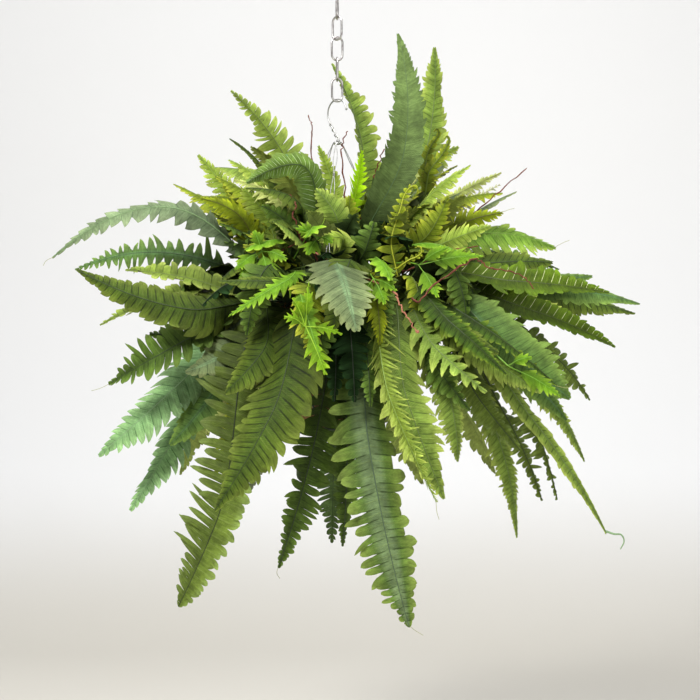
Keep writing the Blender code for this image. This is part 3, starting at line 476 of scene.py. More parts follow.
# Each frond node: its name, the heading and rise at which its stem leaves the foam, and its fronds as look,
# a point on its way, its tip, width and the turn of its face in degrees, or else where its face looks to,
# aside and upward.
frondRows = (
    ("frond_front_sage", (-4, 54), (("sage", (4, -225, -388), (26, -300, -470), 86, 0),)),
    ("frond_low_front_left", (-18, 24), (("front", (-80, -238, -572), (-154, -232, -698), 104, -6),)),
    ("frond_low_front_right", (13, 14), (("banded", (41, -216, -608), (95, -190, -854), 90, 6),)),
    ("frond_low_left", (-42, 10), (("strap", (-158, -150, -720), (-212, -112, -838), 104, (-0.1, 0.25)),)),
    ("frond_low_middle", (2, 13), (
        ("dark", (-30, -168, -622), (-78, -112, -786), 66, 4),
        ("dark", (14, -140, -640), (8, -84, -760), 44, 0))),
    ("frond_low_side_on", (20, 36), (("fringe", (70, -282, -560), (126, -268, -684), 36, 55),)),
    ("frond_low_right_front", (33, 24), (
        ("leafySage", (90, -245, -556), (138, -226, -684), 70, 8),
        ("serrate", (140, -180, -530), (160, -160, -640), 56, 6))),
    ("frond_left_olive", (-56, 9), (
        ("rolled", (-196, -146, -440), (-342, -150, -388), 76, (0.1, 0.28)),
        ("pods", (-206, -96, -396), (-286, -84, -386), 50, -44))),
    ("frond_left_arch", (-78, 50), (("swept", (-222, -60, -300), (-388, -66, -368), 52, -50),)),
    ("frond_left_level", (-100, 40), (
        ("combed", (-250, 24, -356), (-372, 34, -380), 66, -56),
        ("pods", (-250, -20, -424), (-326, -40, -460), 34, -38))),
    ("frond_left_dark", (-70, 12), (
        ("standing", (-186, -112, -472), (-308, -90, -540), 68, -48),
        ("pale", (-124, -104, -534), (-178, -72, -606), 44, -34))),
    ("frond_left_low", (-92, 12), (
        ("mint", (-206, -50, -530), (-326, -56, -638), 74, -56),
        ("mint", (-196, 6, -560), (-288, -12, -717), 66, -58))),
    ("frond_right_ribbed", (70, 46), (("ribbed", (240, -116, -402), (366, -104, -417), 56, 44),)),
    ("frond_right_fall", (78, 34), (
        ("ribbed", (264, -82, -440), (380, -62, -490), 50, 46),
        ("fresh", (250, -16, -420), (352, -6, -462), 40, 50))),
    ("frond_right_low", (80, 8), (("serrate", (214, -24, -590), (252, 0, -756), 42, 54),)),
    ("frond_right_low_back", (104, 10), (
        ("ragged", (236, 56, -580), (294, 66, -710), 46, 60),
        ("ragged", (276, 133, -578), (326, 156, -716), 44, 60))),
    ("frond_right_long", (60, 30), (("tail", (258, -120, -582), (368, -64, -744), 46, 48),)),
    ("frond_right_front", (43, 38), (
        ("short", (150, -228, -462), (216, -244, -524), 40, 24),
        ("short", (190, -176, -462), (286, -196, -540), 30, 10))),
    ("frond_right_mid_back", (108, 28), (("serrate", (286, 66, -540), (356, 76, -654), 42, 56),)),
    ("frond_right_drop", (84, 26), (("ragged", (268, -22, -474), (354, 0, -564), 54, 54),)),
    ("frond_right_broad", (58, 44), (("broad", (242, -160, -506), (308, -148, -558), 76, 82),)),
    ("frond_right_tips", (98, 44), (
        ("blue", (316, 36, -404), (430, 44, -428), 60, 44),
        ("olive", (304, 104, -410), (434, 116, -440), 56, 50))),
    ("frond_right_light", (74, 62), (("vivid", (214, -54, -334), (300, -44, -353), 72, 44),)),
    ("frond_right_upper", (104, 56), (("dark", (216, 50, -354), (318, 64, -378), 66, 28),)),
    ("spray_upper_right", (58, 66), (
        ("moss", (140, 8, -296), (232, 14, -273), 46, 34),
        ("pale", (150, 90, -282), (236, 84, -238), 38, 50),
        ("fresh", (112, -67, -300), (180, -86, -244), 46, 44),
        ("pale", (84, -80, -300), (108, -92, -262), 24, 20))),
    ("frond_top_sage", (34, 78), (("sword", (92, -72, -222), (84, -48, -60), 58, -56),)),
    ("frond_top_olive", (132, 72), (("bright", (134, 112, -182), (142, 118, -52), 56, 72),)),
    ("frond_top_back", (160, 70), (("folded", (32, 62, -182), (-8, 62, -84), 60, (-0.7, 0.0)),)),
    ("frond_top_left", (-62, 80), (("ovate", (-66, 10, -236), (-150, 22, -128), 68, -88),)),
    ("frond_upper_left", (-122, 58), (("fresh", (-132, 62, -300), (-200, 72, -214), 50, -54),)),
    ("frond_top_arch", (-24, 72), (("arch", (-50, -96, -244), (-120, -112, -270), 44, (0.35, 0.1)),)),
    ("spray_upper_left", (-66, 62), (
        ("moss", (-110, -30, -300), (-187, -22, -282), 42, -44),
        ("olive", (-92, -14, -254), (-148, -32, -202), 20, -50),
        ("pale", (-74, -52, -296), (-140, -60, -262), 38, -56))),
    ("sprig_upper_left", (-40, 44), (
        ("lobes", (-70, -130, -350), (-118, -168, -362), 42, 0),
        ("lobes", (-30, -140, -330), (-38, -182, -346), 36, 26))),
    ("sprig_top", (14, 88), (("lime", (26, -60, -280), (34, -98, -226), 30, (-0.3, 0.35)),)),
    ("sprig_front_left", (-30, 46), (
        ("softLime", (-66, -210, -406), (-137, -214, -449), 32, (-0.2, 0.9)),
        ("softLobed", (-40, -240, -440), (-16, -276, -516), 38, 0))),
    ("sprig_right", (30, 58), (
        ("lobes", (56, -180, -376), (70, -236, -404), 36, 0),
        ("lobes", (120, -130, -352), (168, -152, -368), 42, 0))),
    ("frond_back_top_left", (-150, 66), (
        ("serrate", (-90, 110, -260), (-190, 190, -220), 50, -20),
        ("sage", (-60, 150, -300), (-96, 270, -290), 56, 10))),
    ("frond_back_top_right", (140, 62), (
        ("fresh", (100, 110, -260), (180, 180, -190), 60, 46),
        ("olive", (50, 160, -300), (60, 290, -280), 58, 0))),
    ("frond_back_right", (124, 38), (
        ("olive", (210, 150, -400), (310, 240, -450), 72, 20),
        ("dark", (150, 190, -404), (220, 310, -460), 68, 10))),
    ("frond_back_left", (-126, 38), (
        ("sage", (-210, 140, -400), (-320, 220, -440), 72, -20),
        ("olive", (-150, 190, -404), (-230, 310, -470), 68, -10))),
    ("frond_back_middle", (180, 40), (
        ("sage", (30, 220, -400), (60, 370, -460), 78, 0),
        ("olive", (-50, 207, -410), (-100, 343, -480), 70, 0))),
    ("frond_back_low_right", (140, 12), (
        ("bright", (170, 190, -550), (240, 236, -682), 62, 10),
        ("bright", (90, 215, -560), (130, 266, -700), 62, 0))),
    ("frond_back_low_left", (-146, 12), (
        ("bright", (-180, 180, -550), (-240, 218, -682), 62, -10),
        ("sage", (-100, 215, -560), (-136, 258, -710), 62, 0))),
    ("frond_back_low_middle", (178, 6), (
        ("dark", (-4, 215, -580), (-10, 250, -790), 78, 0),
        ("moss", (40, 170, -600), (60, 170, -760), 54, 0))),
)


def rootOnFoam(heading, rise):
    angle = math.atan2(foamTop["height"] * math.sin(math.radians(rise)),
                       foamTop["radius"] * math.cos(math.radians(rise)))
    return (headingVector(heading) * foamTop["radius"] * math.cos(angle)
            + up * (foamTop["base"] + foamTop["height"] * math.sin(angle)))


def curveThrough(start, lead, way, tip, steps=60):
    start, way, tip = (np.asarray(point, float) for point in (start, way, tip))
    first = np.linalg.norm(way - start)
    second = np.linalg.norm(tip - way)
    passing = ((way - start) / first * second + (tip - way) / second * first) / (first + second)
    ending = 2 * (tip - way) / second - passing
    path = []
    for a, b, out, into, reach in ((start, way, lead, passing, first), (way, tip, passing, ending, second)):
        t = np.linspace(0, 1, steps // 2 + 1)[:, None]
        piece = (2 * t**3 - 3 * t**2 + 1) * a + (t**3 - 2 * t**2 + t) * out * reach
        piece += (3 * t**2 - 2 * t**3) * b + (t**3 - t**2) * into * reach
        path.append(piece if not path else piece[1:])
    return np.concatenate(path)


def frondLine(path, turn):  # a frond's middle line with the facing of its blade
    far = np.concatenate(([0.0], np.cumsum(np.linalg.norm(np.diff(path, axis=0), axis=1))))
    along = np.gradient(path, axis=0)
    along /= np.linalg.norm(along, axis=1)[:, None]
    if isinstance(turn, tuple):
        side = np.cross(along, (turn[0], -1.0, turn[1]))
        turn = 0
    else:
        level = np.cross(unit((path[len(path) // 2] + path[-1]) * (1, 1, 0)), up)
        side = level - along * (along @ level)[:, None]
    side /= np.linalg.norm(side, axis=1)[:, None]
    out = np.cross(side, along)
    share = np.clip(far / far[-1] / 0.35, 0, 1)
    # degrees that the blade sways along its way
    restless = 7 * np.sin(far / 34.0 + path[-1][0]) + 5 * np.sin(far / 19.0 + path[-1][2])
    angle = (np.radians(turn + restless) * share * share * (3 - 2 * share))[:, None]
    return {"path": path, "far": far, "length": far[-1], "along": along,
            "side": side * np.cos(angle) - out * np.sin(angle),
            "out": out * np.cos(angle) + side * np.sin(angle)}


def atShare(line, share):  # middle, side and outward direction at shares of the length
    reach = share * line["length"]
    rows = []
    for name in ("path", "side", "out"):
        got = [np.interp(reach.ravel(), line["far"], line[name][:, k]) for k in range(3)]
        rows.append(np.stack(got, axis=-1).reshape(*reach.shape, 3))
    past = np.maximum(reach - line["length"], 0.0)[..., None]
    rows[0] = rows[0] + line["along"][-1] * past
    return rows


def halfWidth(share, look, width):
    begin = look["begin"]
    u = np.clip((share - begin) / (1 - begin), 0, 1)
    widen = np.minimum(u / 0.3, 1.0)  # from half the width to all of it
    full = width / 2 * (0.5 + 0.5 * np.sin(widen * np.pi / 2))
    power, narrowing = look["taper"]
    slim = 1 - 0.4 * np.clip((share - 0.76) / 0.24, 0, 1)  # the last leaflets make a thin tip
    return slim * (full * np.maximum(1 - u**power, 0.0) ** narrowing + min(ribWidth, 0.12 * width) / 2)


def leafSheet(line, look, width, dice):
    begin = look["begin"]
    blade = line["length"] * (1 - begin)
    pitch = look["pitch"] * (0.55 + 0.45 * min(width / 80, 1.1))  # narrow fronds have closer leaflets
    pairs = max(look["fewest"], round(blade / pitch))
    marks = np.linspace(0, 1, pairs + 1)
    marks = marks + 0.11 * np.sin(np.pi * marks)  # leaflets stand closer towards the tip
    marks[1:-1] += dice.normal(scale=0.1 / pairs, size=pairs - 1)
    middles = begin * line["length"] + blade * (marks[1:] + marks[:-1]) / 2
    halves = blade * np.diff(marks) / 2
    rows = 4 if width > wideFrom else 2
    teeth = look["teeth"] if width > plainBelow else 0.0
    free = np.array([0.25, 0.5, 0.72, 0.88, 1.0] if width > plainBelow else [0.35, 0.7, 1.0])
    if teeth:  # a step on each side of every notch
        free = np.array([0.23, 0.29, 0.49, 0.55, 0.75, 0.81, 1.0])
    v = np.linspace(-1, 1, rows + 1)
    sheets = []
    for sign in (-1, 1):
        joined, gap = look["joined"], look["gap"]
        if sign < 0 and "fused" in look:
            joined, gap = look["fused"], 0.3 * gap
        steps = np.array([0.0, 0.5 * joined, joined]) if joined > 0 else np.array([0.0])
        t = np.concatenate([steps, joined + (1 - joined) * free])
        # chance for each leaflet: its length, lean, lift, twist and tint; one in sixteen is cut short
        roll = np.clip(dice.normal(size=(5, pairs)), -2.2, 2.2)
        short = np.where(dice.random(pairs) < 0.06, 0.72, 1.0)
        i, vv, tt = np.meshgrid(np.arange(pairs), v, t, indexing="ij")
        u = np.clip((tt - joined) / (1 - joined), 0, 1)
        taper = np.maximum(1 - u ** look["point"], 0.0) ** 0.75
        taper = look["blunt"] * np.sqrt(np.maximum(1 - u**8, 0)) + (1 - look["blunt"]) * taper
        notched = 1 - teeth * 2 * (u / 0.26 % 1.0 - 0.3)
        h = np.where(tt <= joined, 1.0, (1 - gap) * taper * (1 + 0.1 * np.sin(np.pi * u)) * notched)
        # x runs along the rib, y out from it and z off the blade, all in mm
        half = halves[i]
        x = middles[i] + (vv * h + look["hook"] * (1 - h) * u) * half
        reach = halfWidth(x / line["length"], look, width) * (look["narrow"] if sign < 0 else 1.0)
        y = tt * reach * (1 + (0.09 * roll[0][i] + 0.06 * np.sin(x / 31.0 + sign)) * u)
        y = np.where(u > 0, y * (1 - (1 - short[i]) * u), y)
        # the last leaflets lean further forward
        forward = look["forward"] * np.clip((x / line["length"] - 0.8) / 0.2, 0, 1) ** 2
        lean = look["lean"] - look["backward"] * (sign > 0)
        leaned = x + y * (np.tan(np.radians(lean + forward)) + u * 0.14 * roll[1][i])
        middle, side, out = atShare(line, leaned / line["length"])
        droop = math.radians(look["droop"])
        stray = roll[2][i] + 0.25 * roll[2][i] ** 3
        bend = math.tan(math.radians(look["lift"])) * stray * u * (tt - joined) * reach
        cup = -look["fold"] * half * np.abs(vv) * h * np.minimum(tt / 0.15, 1.0)
        wring = math.tan(math.radians(look["twist"])) * roll[3][i] * vv * h * half * u
        shingle = 0.18 * vv * h * half * u  # each leaflet lies over the next one
        wave = look["ruffle"] * np.sin(x / 17.0 + 2.2 * sign) * (y / (width / 2)) ** 2
        z = -math.sin(droop) * y - 0.1 * tt * tt * reach + bend + cup + wring + shingle + wave
        points = middle + side * (sign * y * math.cos(droop))[..., None] + out * z[..., None]
        # painted shade and painted light: halves darkens the leaflets of one half and lightens those of the other
        tint = np.clip(0.5 + 0.2 * roll[4] - 0.34 * sign * look["halves"], 0, 1)[i]
        slitHere = 1.0 if look.get("slitHalf", sign) == sign else 0.8  # no slit shows on the other half
        sheets.append((sign, points, tt, 0.5 + 0.5 * slitHere * vv * h, x / line["length"], tint))
    return sheets


def sheetMesh(name, sheets, finishes):
    points, faces, leafMap, placeMap = [], [], [], []
    first = 0
    for sign, grid, out, across, share, tint in sheets:
        count, rows, columns = grid.shape[:3]
        points.append(grid.reshape(-1, 3))
        leafMap.append(np.stack([out, across], axis=-1).reshape(-1, 2))
        placeMap.append(np.stack([share, tint], axis=-1).reshape(-1, 2))
        index = first + np.arange(count * rows * columns).reshape(count, rows, columns)
        a, b = index[:, :-1, :-1], index[:, :-1, 1:]
        c, d = index[:, 1:, 1:], index[:, 1:, :-1]
        corners = (a, b, c, d) if sign > 0 else (a, d, c, b)
        faces.append(np.stack(corners, axis=-1).reshape(-1, 4))
        first += count * rows * columns
    points = np.concatenate(points) * mm
    faces = np.concatenate(faces)
    mesh = bpy.data.meshes.new(name)
    mesh.from_pydata(points.tolist(), [], faces.tolist())
    for label, values in (("leaf", np.concatenate(leafMap)), ("place", np.concatenate(placeMap))):
        layer = mesh.uv_layers.new(name=label)
        layer.data.foreach_set("uv", values[faces.ravel()].astype(np.float32).ravel())
    for finish in finishes:
        mesh.materials.append(finish)
    thing = addObject(name, mesh)
    mergePoints(thing, 0.02)
    thicken = thing.modifiers.new("cloth", "SOLIDIFY")
    thicken.thickness = clothThickness * mm
    thicken.offset = 0.0
    thicken.material_offset = 1
    applyAll(thing)
    smoothBy(thing, 50)
    return thing


def makeFrond(look, line, width, dice, inner, stout=1.15):  # inner: how far its stem goes on below the line
    kind = look["print"]
    blade = sheetMesh("blade", leafSheet(line, look, width, dice), leafFinishes[kind])
    shares = np.linspace(0, 1, 28)
    middle, side, out = atShare(line, shares)
    foot = line["path"][0] - unit(line["path"][1] - line["path"][0]) * inner
    radii = np.concatenate(([stout], stout * (1 - 0.68 * shares)))
    return [blade, tube(np.vstack([foot, middle + out * 0.1]), radii, stemFinishes[kind], 1)]


def settleByPrint(byPrint, name):
    for kind, parts in byPrint.items():
        settle(parts, name + "_" + kind, leafPrints[kind][0])


for number, (name, (heading, rise), rows) in enumerate(frondRows):
    lead = headingVector(heading, rise)
    start, away, inner, parts = rootOnFoam(heading, rise), lead, holeDepth, []
    for k, (lookName, way, tip, width, turn) in enumerate(rows):
        if k:
            away = unit(unit(way - start) + lead * 0.35)
        line = frondLine(curveThrough(start, away, way, tip), turn)
        if not k:
            fork = atShare(line, np.array([forkAt / line["length"]]))[0][0]
        dice = np.random.default_rng(100 * number + k)
        parts += makeFrond(frondLooks[lookName], line, width, dice, inner)
        start, inner = fork, 0.6
    settle(parts, name + "_cloth", slotOf[name], name)
print("fronds made:", len(frondRows))


# Undergrowth: short fronds that close the heart, rise through it and hang over the rim

undergrowth = (
    # painted shade: the heart's nearly black shade fronds fill it where it lies in shadow
    {"name": "heart", "count": 34, "from": -180, "to": 180, "rises": (10, 80), "lengths": (80, 140),
     "widths": (36, 52), "fall": -30, "looks": ("shade", "shade", "dark"), "seed": 7},
    {"name": "crown", "count": 34, "from": 62, "to": 298, "rises": (50, 84), "lengths": (130, 205),
     "widths": (38, 58), "fall": 5, "seed": 11,
     "looks": ("moss", "fresh", "pale", "moss", "serrate", "sage", "moss", "olive")},
    {"name": "collar", "count": 12, "from": -66, "to": 66, "rises": (50, 76), "lengths": (90, 130),
     "widths": (36, 50), "fall": 0, "looks": ("dark", "moss", "serrate", "dark"), "seed": 3},
    {"name": "skirt", "count": 36, "from": -180, "to": 180, "rises": (4, 28), "lengths": (130, 215),
     "widths": (42, 60), "fall": -75, "looks": ("dark", "olive", "dark", "moss", "dark", "olive"),
     "keepOff": (-78, -30), "seed": 5},
)
for bunch in undergrowth:
    dice = np.random.default_rng(bunch["seed"])
    byPrint = {}
    offFrom, offTo = bunch.get("keepOff", (0, 0))  # large fronds fill this side
    for k in range(bunch["count"]):
        heading = bunch["from"] + (bunch["to"] - bunch["from"]) * ((k * 0.618 + 0.2) % 1.0)
        if offFrom < heading < offTo:
            continue
        low, high = bunch["rises"]
        rise = low + (high - low) * ((k * 0.414) % 1.0)
        root = rootOnFoam(heading, rise)
        lead = headingVector(heading, rise)
        length = dice.uniform(*bunch["lengths"])
        sideways = headingVector(heading + 90) * dice.normal() * 0.16 * length
        way = root + lead * length * 0.5 + sideways * 0.5
        falling = headingVector(heading, (rise * 0.5 if rise > 45 else 0) + bunch["fall"])
        tip = way + falling * length * 0.5 + sideways
        line = frondLine(curveThrough(root, lead, way, tip, 24), dice.uniform(-35, 35))
        lookName = bunch["looks"][k % len(bunch["looks"])]
        if lookName == "shade" and abs(heading) > 48:
            lookName = "olive"  # the nearly black leaves, painted shade, show only in front
        look = frondLooks[lookName]
        parts = makeFrond(look, line, dice.uniform(*bunch["widths"]), dice, 8)
        byPrint.setdefault(look["print"], []).extend(parts)
    settleByPrint(byPrint, bunch["name"])
    print("undergrowth made:", bunch["name"])


# Fronds between the large ones: look, heading and rise, way, tip, width and where its face looks to

extraRows = (
    ("upper_left", (
        ("gold", (-70, 50), (-140, -70, -305), (-183, -84, -289), 34, (-0.2, 0.5)),
        ("fresh", (-60, 58), (-95, -50, -313), (-127, -64, -274), 52, (-0.2, 0.3)),
        ("olive", (-50, 66), (-52, -92, -294), (-121, -112, -277), 36, (0.0, 1.6)),
        ("moss", (-84, 60), (-128, 0, -304), (-161, 0, -256), 44, (-0.3, 0.3)),
        ("serrate", (-70, 76), (-72, 20, -289), (-106, 20, -220), 40, (-0.3, 0.1)),
        ("fresh", (-12, 80), (-8, 0, -256), (-26, 0, -209), 32, (0.0, 0.1)),
        ("dark", (-48, 60), (-63, -96, -327), (-100, -110, -301), 48, (-0.1, 0.4)),
        ("moss", (-40, 50), (-80, -140, -367), (-121, -160, -357), 44, (-0.2, 0.6)),
        ("olive", (-52, 34), (-73, -196, -406), (-151, -200, -405), 36, (0.0, 1.4)),
        ("dark", (-46, 40), (-74, -150, -386), (-127, -160, -378), 50, (-0.2, 0.7)),
    )),
    ("middle", (
        ("fresh", (-6, 62), (7, -124, -345), (-22, -150, -350), 34, (0.0, 0.5)),
        ("serrate", (-12, 78), (-1, -84, -312), (-28, -84, -277), 46, (-0.1, 0.2)),
        ("moss", (6, 76), (15, -70, -322), (18, -76, -285), 40, (0.0, 0.2)),
        ("dark", (18, 66), (39, -116, -360), (50, -120, -323), 48, (0.1, 0.3)),
        ("serrate", (24, 80), (60, -30, -306), (65, -26, -253), 50, (0.1, 0.1)),
        ("dark", (14, 48), (57, -196, -429), (67, -226, -476), 44, (0.1, 0.6)),
        ("gold", (10, 44), (51, -214, -425), (56, -246, -486), 34, (0.1, 0.5)),
        ("dark", (-14, 40), (-18, -210, -468), (-23, -226, -517), 50, (0.0, 0.5)),
        # painted shade: nearly black shade fronds below the heart, where it lies in shadow
        ("shade", (4, 34), (20, -226, -486), (24, -240, -560), 56, (0.0, 0.4)),
        ("dark", (10, 30), (40, -222, -500), (44, -238, -566), 44, (0.1, 0.4)),
        ("shade", (-8, 30), (0, -214, -500), (-2, -226, -560), 46, (0.0, 0.4)),
    )),
    ("upper_right", (
        ("gold", (66, 54), (182, -66, -317), (225, -70, -307), 44, (0.1, 0.3)),
        ("fresh", (60, 56), (166, -100, -341), (206, -112, -328), 42, (0.1, 0.4)),
        ("moss", (48, 64), (126, -90, -335), (150, -90, -286), 44, (0.2, 0.2)),
        ("cream", (52, 66), (183, 40, -286), (231, 40, -259), 30, (0.2, 0.3)),
        ("olive", (40, 74), (116, 10, -283), (136, 12, -227), 44, (0.2, 0.1)),
        ("olive", (72, 50), (222, -80, -375), (292, -80, -375), 44, (0.1, 0.6)),
        ("dark", (56, 46), (140, -76, -404), (196, -72, -412), 50, (0.1, 0.5)),
        ("dark", (70, 44), (180, -50, -383), (247, -50, -383), 52, (0.1, 0.7)),
        ("blue", (84, 46), (257, 10, -398), (359, 20, -390), 54, (0.1, 0.9)),
    )),
    ("right", (
        ("toothed", (38, 34), (133, -226, -497), (191, -250, -548), 54, (0.1, 0.5)),
        ("olive", (50, 30), (142, -200, -463), (208, -214, -497), 50, (0.1, 0.6)),
        ("dark", (44, 28), (135, -190, -523), (173, -200, -572), 54, (0.1, 0.4)),
        ("serrate", (64, 26), (190, -150, -497), (269, -150, -549), 50, (0.2, 0.5)),
        ("ragged", (66, 16), (192, -110, -561), (247, -100, -629), 50, (0.2, 0.4)),
        ("blue", (76, 20), (237, -60, -508), (316, -40, -590), 54, (0.2, 0.4)),
        ("moss", (28, 20), (82, -210, -558), (108, -216, -625), 48, (0.1, 0.4)),
    )),
    ("left", (
        ("sage", (-62, 20), (-147, -130, -497), (-200, -130, -523), 60, (-0.2, 0.5)),
        ("olive", (-46, 16), (-96, -190, -497), (-143, -190, -549), 64, (-0.2, 0.4)),
        ("dark", (-74, 18), (-170, -100, -467), (-252, -96, -472), 56, (-0.2, 0.7)),
        ("dark", (-30, 10), (-73, -180, -559), (-97, -176, -627), 60, (-0.1, 0.3)),
        ("blue", (-80, 8), (-168, -60, -551), (-228, -60, -623), 62, (-0.2, 0.4)),
        ("moss", (-60, 4), (-135, -110, -588), (-164, -110, -663), 48, (-0.2, 0.3)),
    )),
)
for number, (name, rows) in enumerate(extraRows):
    byPrint = {}
    for k, (lookName, (heading, rise), way, tip, width, turn) in enumerate(rows):
        dice = np.random.default_rng(9000 + 100 * number + k)
        path = curveThrough(rootOnFoam(heading, rise), headingVector(heading, rise), way, tip, 40)
        parts = makeFrond(frondLooks[lookName], frondLine(path, turn), width, dice, 8)
        byPrint.setdefault(frondLooks[lookName]["print"], []).extend(parts)
    settleByPrint(byPrint, name)
print("fronds between made")


# Lime clusters: lobed leaves that fan from the end of a stem, each with its tip, width and facing

clusterRows = (
    ("lime_left", (-36, 50), (-98, -158, -364), (
        ((-89, -182, -396), 38, (0.0, 0.5)), ((-131, -176, -388), 30, (-0.2, 0.4)),
        ((-66, -176, -375), 28, (0.1, 0.4)), ((-108, -162, -338), 24, (-0.1, 0.3)),
        ((-126, -172, -400), 24, (-0.1, 0.5)))),
    ("lime_upper", (-12, 56), (-24, -138, -345), (
        ((-37, -162, -368), 32, (0.0, 0.4)), ((-52, -156, -335), 24, (-0.2, 0.2)),
        ((-6, -150, -352), 22, (0.1, 0.4)))),
    ("lime_heart", (-8, 44), (-38, -256, -464), (
        ((-13, -278, -524), 42, (0.5, 0.2)), ((-64, -268, -452), 24, (-0.1, 0.4)),
        ((8, -270, -474), 24, (0.1, 0.6)), ((-34, -262, -408), 22, (-0.8, 0.2)),
        ((-54, -264, -428), 18, (-0.4, 0.4)))),
    ("lime_right", (30, 54), (108, -158, -382), (
        ((131, -190, -424), 36, (0.1, 0.5)), ((190, -176, -371), 34, (0.1, 0.5)),
        ((146, -170, -360), 24, (0.1, 0.4)))),
    ("lime_middle", (16, 50), (48, -212, -402), (
        ((62, -236, -434), 30, (0.1, 0.3)), ((76, -236, -418), 24, (0.1, 0.3)),
        ((36, -232, -426), 20, (-0.1, 0.3)))),
    ("lime_low_right", (44, 36), (220, -222, -514), (
        ((286, -226, -552), 32, (0.1, 0.4)), ((250, -226, -504), 22, (0.1, 0.3)))),
)
for number, (name, (heading, rise), hub, leaves) in enumerate(clusterRows):
    dice = np.random.default_rng(700 + number)
    hub = np.array(hub, float)
    root = rootOnFoam(heading, rise)
    stem = curveThrough(root, headingVector(heading, rise), root + (hub - root) * 0.55 + up * 12, hub, 24)
    look = frondLooks["lobed" if name == "lime_heart" else "lobedGreen"]
    parts = [tube(stem, 0.9, stemFinishes[look["print"]], 1)]
    for tip, width, turn in leaves:
        path = curveThrough(hub, unit(tip - hub), (hub + tip) * 0.5 + (0, -3.0, 3.0), tip, 16)
        parts += makeFrond(look, frondLine(path, turn), width, dice, 0.5, 0.7)
    settle(parts, name + "_leaves", "leaf_lime")
print("lime clusters made")


# Curled sprigs and unrolling shoots, their leaflets shrinking to beads along the curl

curlRows = (
    ("sprig_curled_tall", "bead", 40, ((85, -120, -409), (78, -124, -379), (73, -122, -350), (79, -118, -324),
     (86, -114, -303), (90, -110, -288), (97, -108, -277), (104, -106, -274), (109, -105, -278), (108, -104, -283))),
    ("sprig_curled_low", "bead", 12, ((81, -160, -386), (89, -164, -380), (97, -166, -375), (105, -166, -372),
     (111, -165, -367), (112, -164, -362), (109, -163, -358), (103, -162, -360))),
    ("shoot_left", "moss", 26, ((120, -30, -286), (122, -24, -247), (125, -20, -224), (131, -18, -210),
     (138, -16, -200), (142, -15, -192), (139, -14, -186), (135, -14, -190))),
    ("shoot_right", "moss", 26, ((120, -50, -296), (125, -52, -255), (133, -54, -240), (143, -55, -228),
     (150, -56, -216), (154, -56, -206), (151, -56, -201), (147, -56, -205))),
)
for number, (name, lookName, width, points) in enumerate(curlRows):
    dice = np.random.default_rng(800 + number)
    line = frondLine(smoothThrough(points, 6), (0.0, 0.15))
    first = np.array(points[0], float)
    foot = rootOnFoam(math.degrees(math.atan2(first[0], -first[1])), 60)
    look = dict(frondLooks[lookName], taper=(1.1, 0.9), pitch=13.0 if width > 20 else 9.0)
    blade = sheetMesh(name, leafSheet(line, look, width, dice), leafFinishes[look["print"]])
    stem = np.vstack([curveThrough(foot, unit(first - foot), (foot + first) / 2, first, 8)[:-1], line["path"]])
    radii = np.linspace(1.0, 0.45, len(stem))
    settle([blade, tube(stem, radii, stemFinishes[look["print"]], 1)], name, "leaf_moss")
print("curled sprigs made")


# Frayed threads and a torn strip at the ends of the longest fronds

threadRows = (
    ((-306, -90, -539), (-320, -92, -546), (-331, -94, -549)),
    ((95, -190, -852), (103, -192, -858), (113, -193, -864)),
    ((126, -268, -682), (127, -268, -697), (130, -268, -707)),
    ((-78, -112, -784), (-80, -112, -793), (-76, -112, -800)),
    ((284, -196, -540), (298, -197, -543), (306, -196, -541)),
    ((299, -44, -353), (312, -44, -346), (320, -45, -343)),
    ((224, -70, -307), (234, -70, -303), (242, -70, -301)),
    ((-386, -66, -367), (-396, -68, -372), (-400, -70, -379)),
)
threadRadius = 0.3
parts = [tube(smoothThrough(points, 5), threadRadius, stemFinishes["pale"], 0) for points in threadRows]
curl = smoothThrough(((366, -64, -741), (378, -66, -745), (388, -66, -746), (392, -66, -755), (387, -66, -766)), 5)
parts.append(tube(curl, np.linspace(1.7, 0.8, len(curl)), stemFinishes["mint"], 1))
settle(parts, "frayed_threads", "leaf_pale")
print("threads made")


# Chain: oval links that hang in each other, each turned its own way

chainLink = {"wire": 3.0, "length": 29.3, "width": 12.8, "gap": 0.5, "turns": (84, -38, 18, -86, 24)}
bend = (chainLink["width"] + chainLink["wire"]) / 2
straight = (chainLink["length"] - chainLink["width"]) / 2
linkStep = chainLink["length"] - chainLink["gap"]
for i, turn in enumerate(chainLink["turns"]):
    bpy.ops.mesh.primitive_torus_add(major_radius=bend * mm, minor_radius=chainLink["wire"] / 2 * mm,
                                     major_segments=36, minor_segments=14, rotation=(math.pi / 2, 0, 0))
    link = cover(bpy.context.active_object, chainPlate)
    applyPlace(link)
    for vertex in link.data.vertices:
        vertex.co.z += math.copysign(straight * mm, vertex.co.z)
    link.rotation_euler = (0, 0, math.radians(turn))
    link.location = (0, 0, (-chainLink["length"] / 2 - i * linkStep) * mm)
    applyPlace(link)
    smoothBy(link, 40)
    settle([link], f"chain_link_{i + 1}_wire", "nickel_plate", f"chain_link_{i + 1}")
print("chain made")


# Hook: one bent wire with a ball at its open end and an eye at its foot

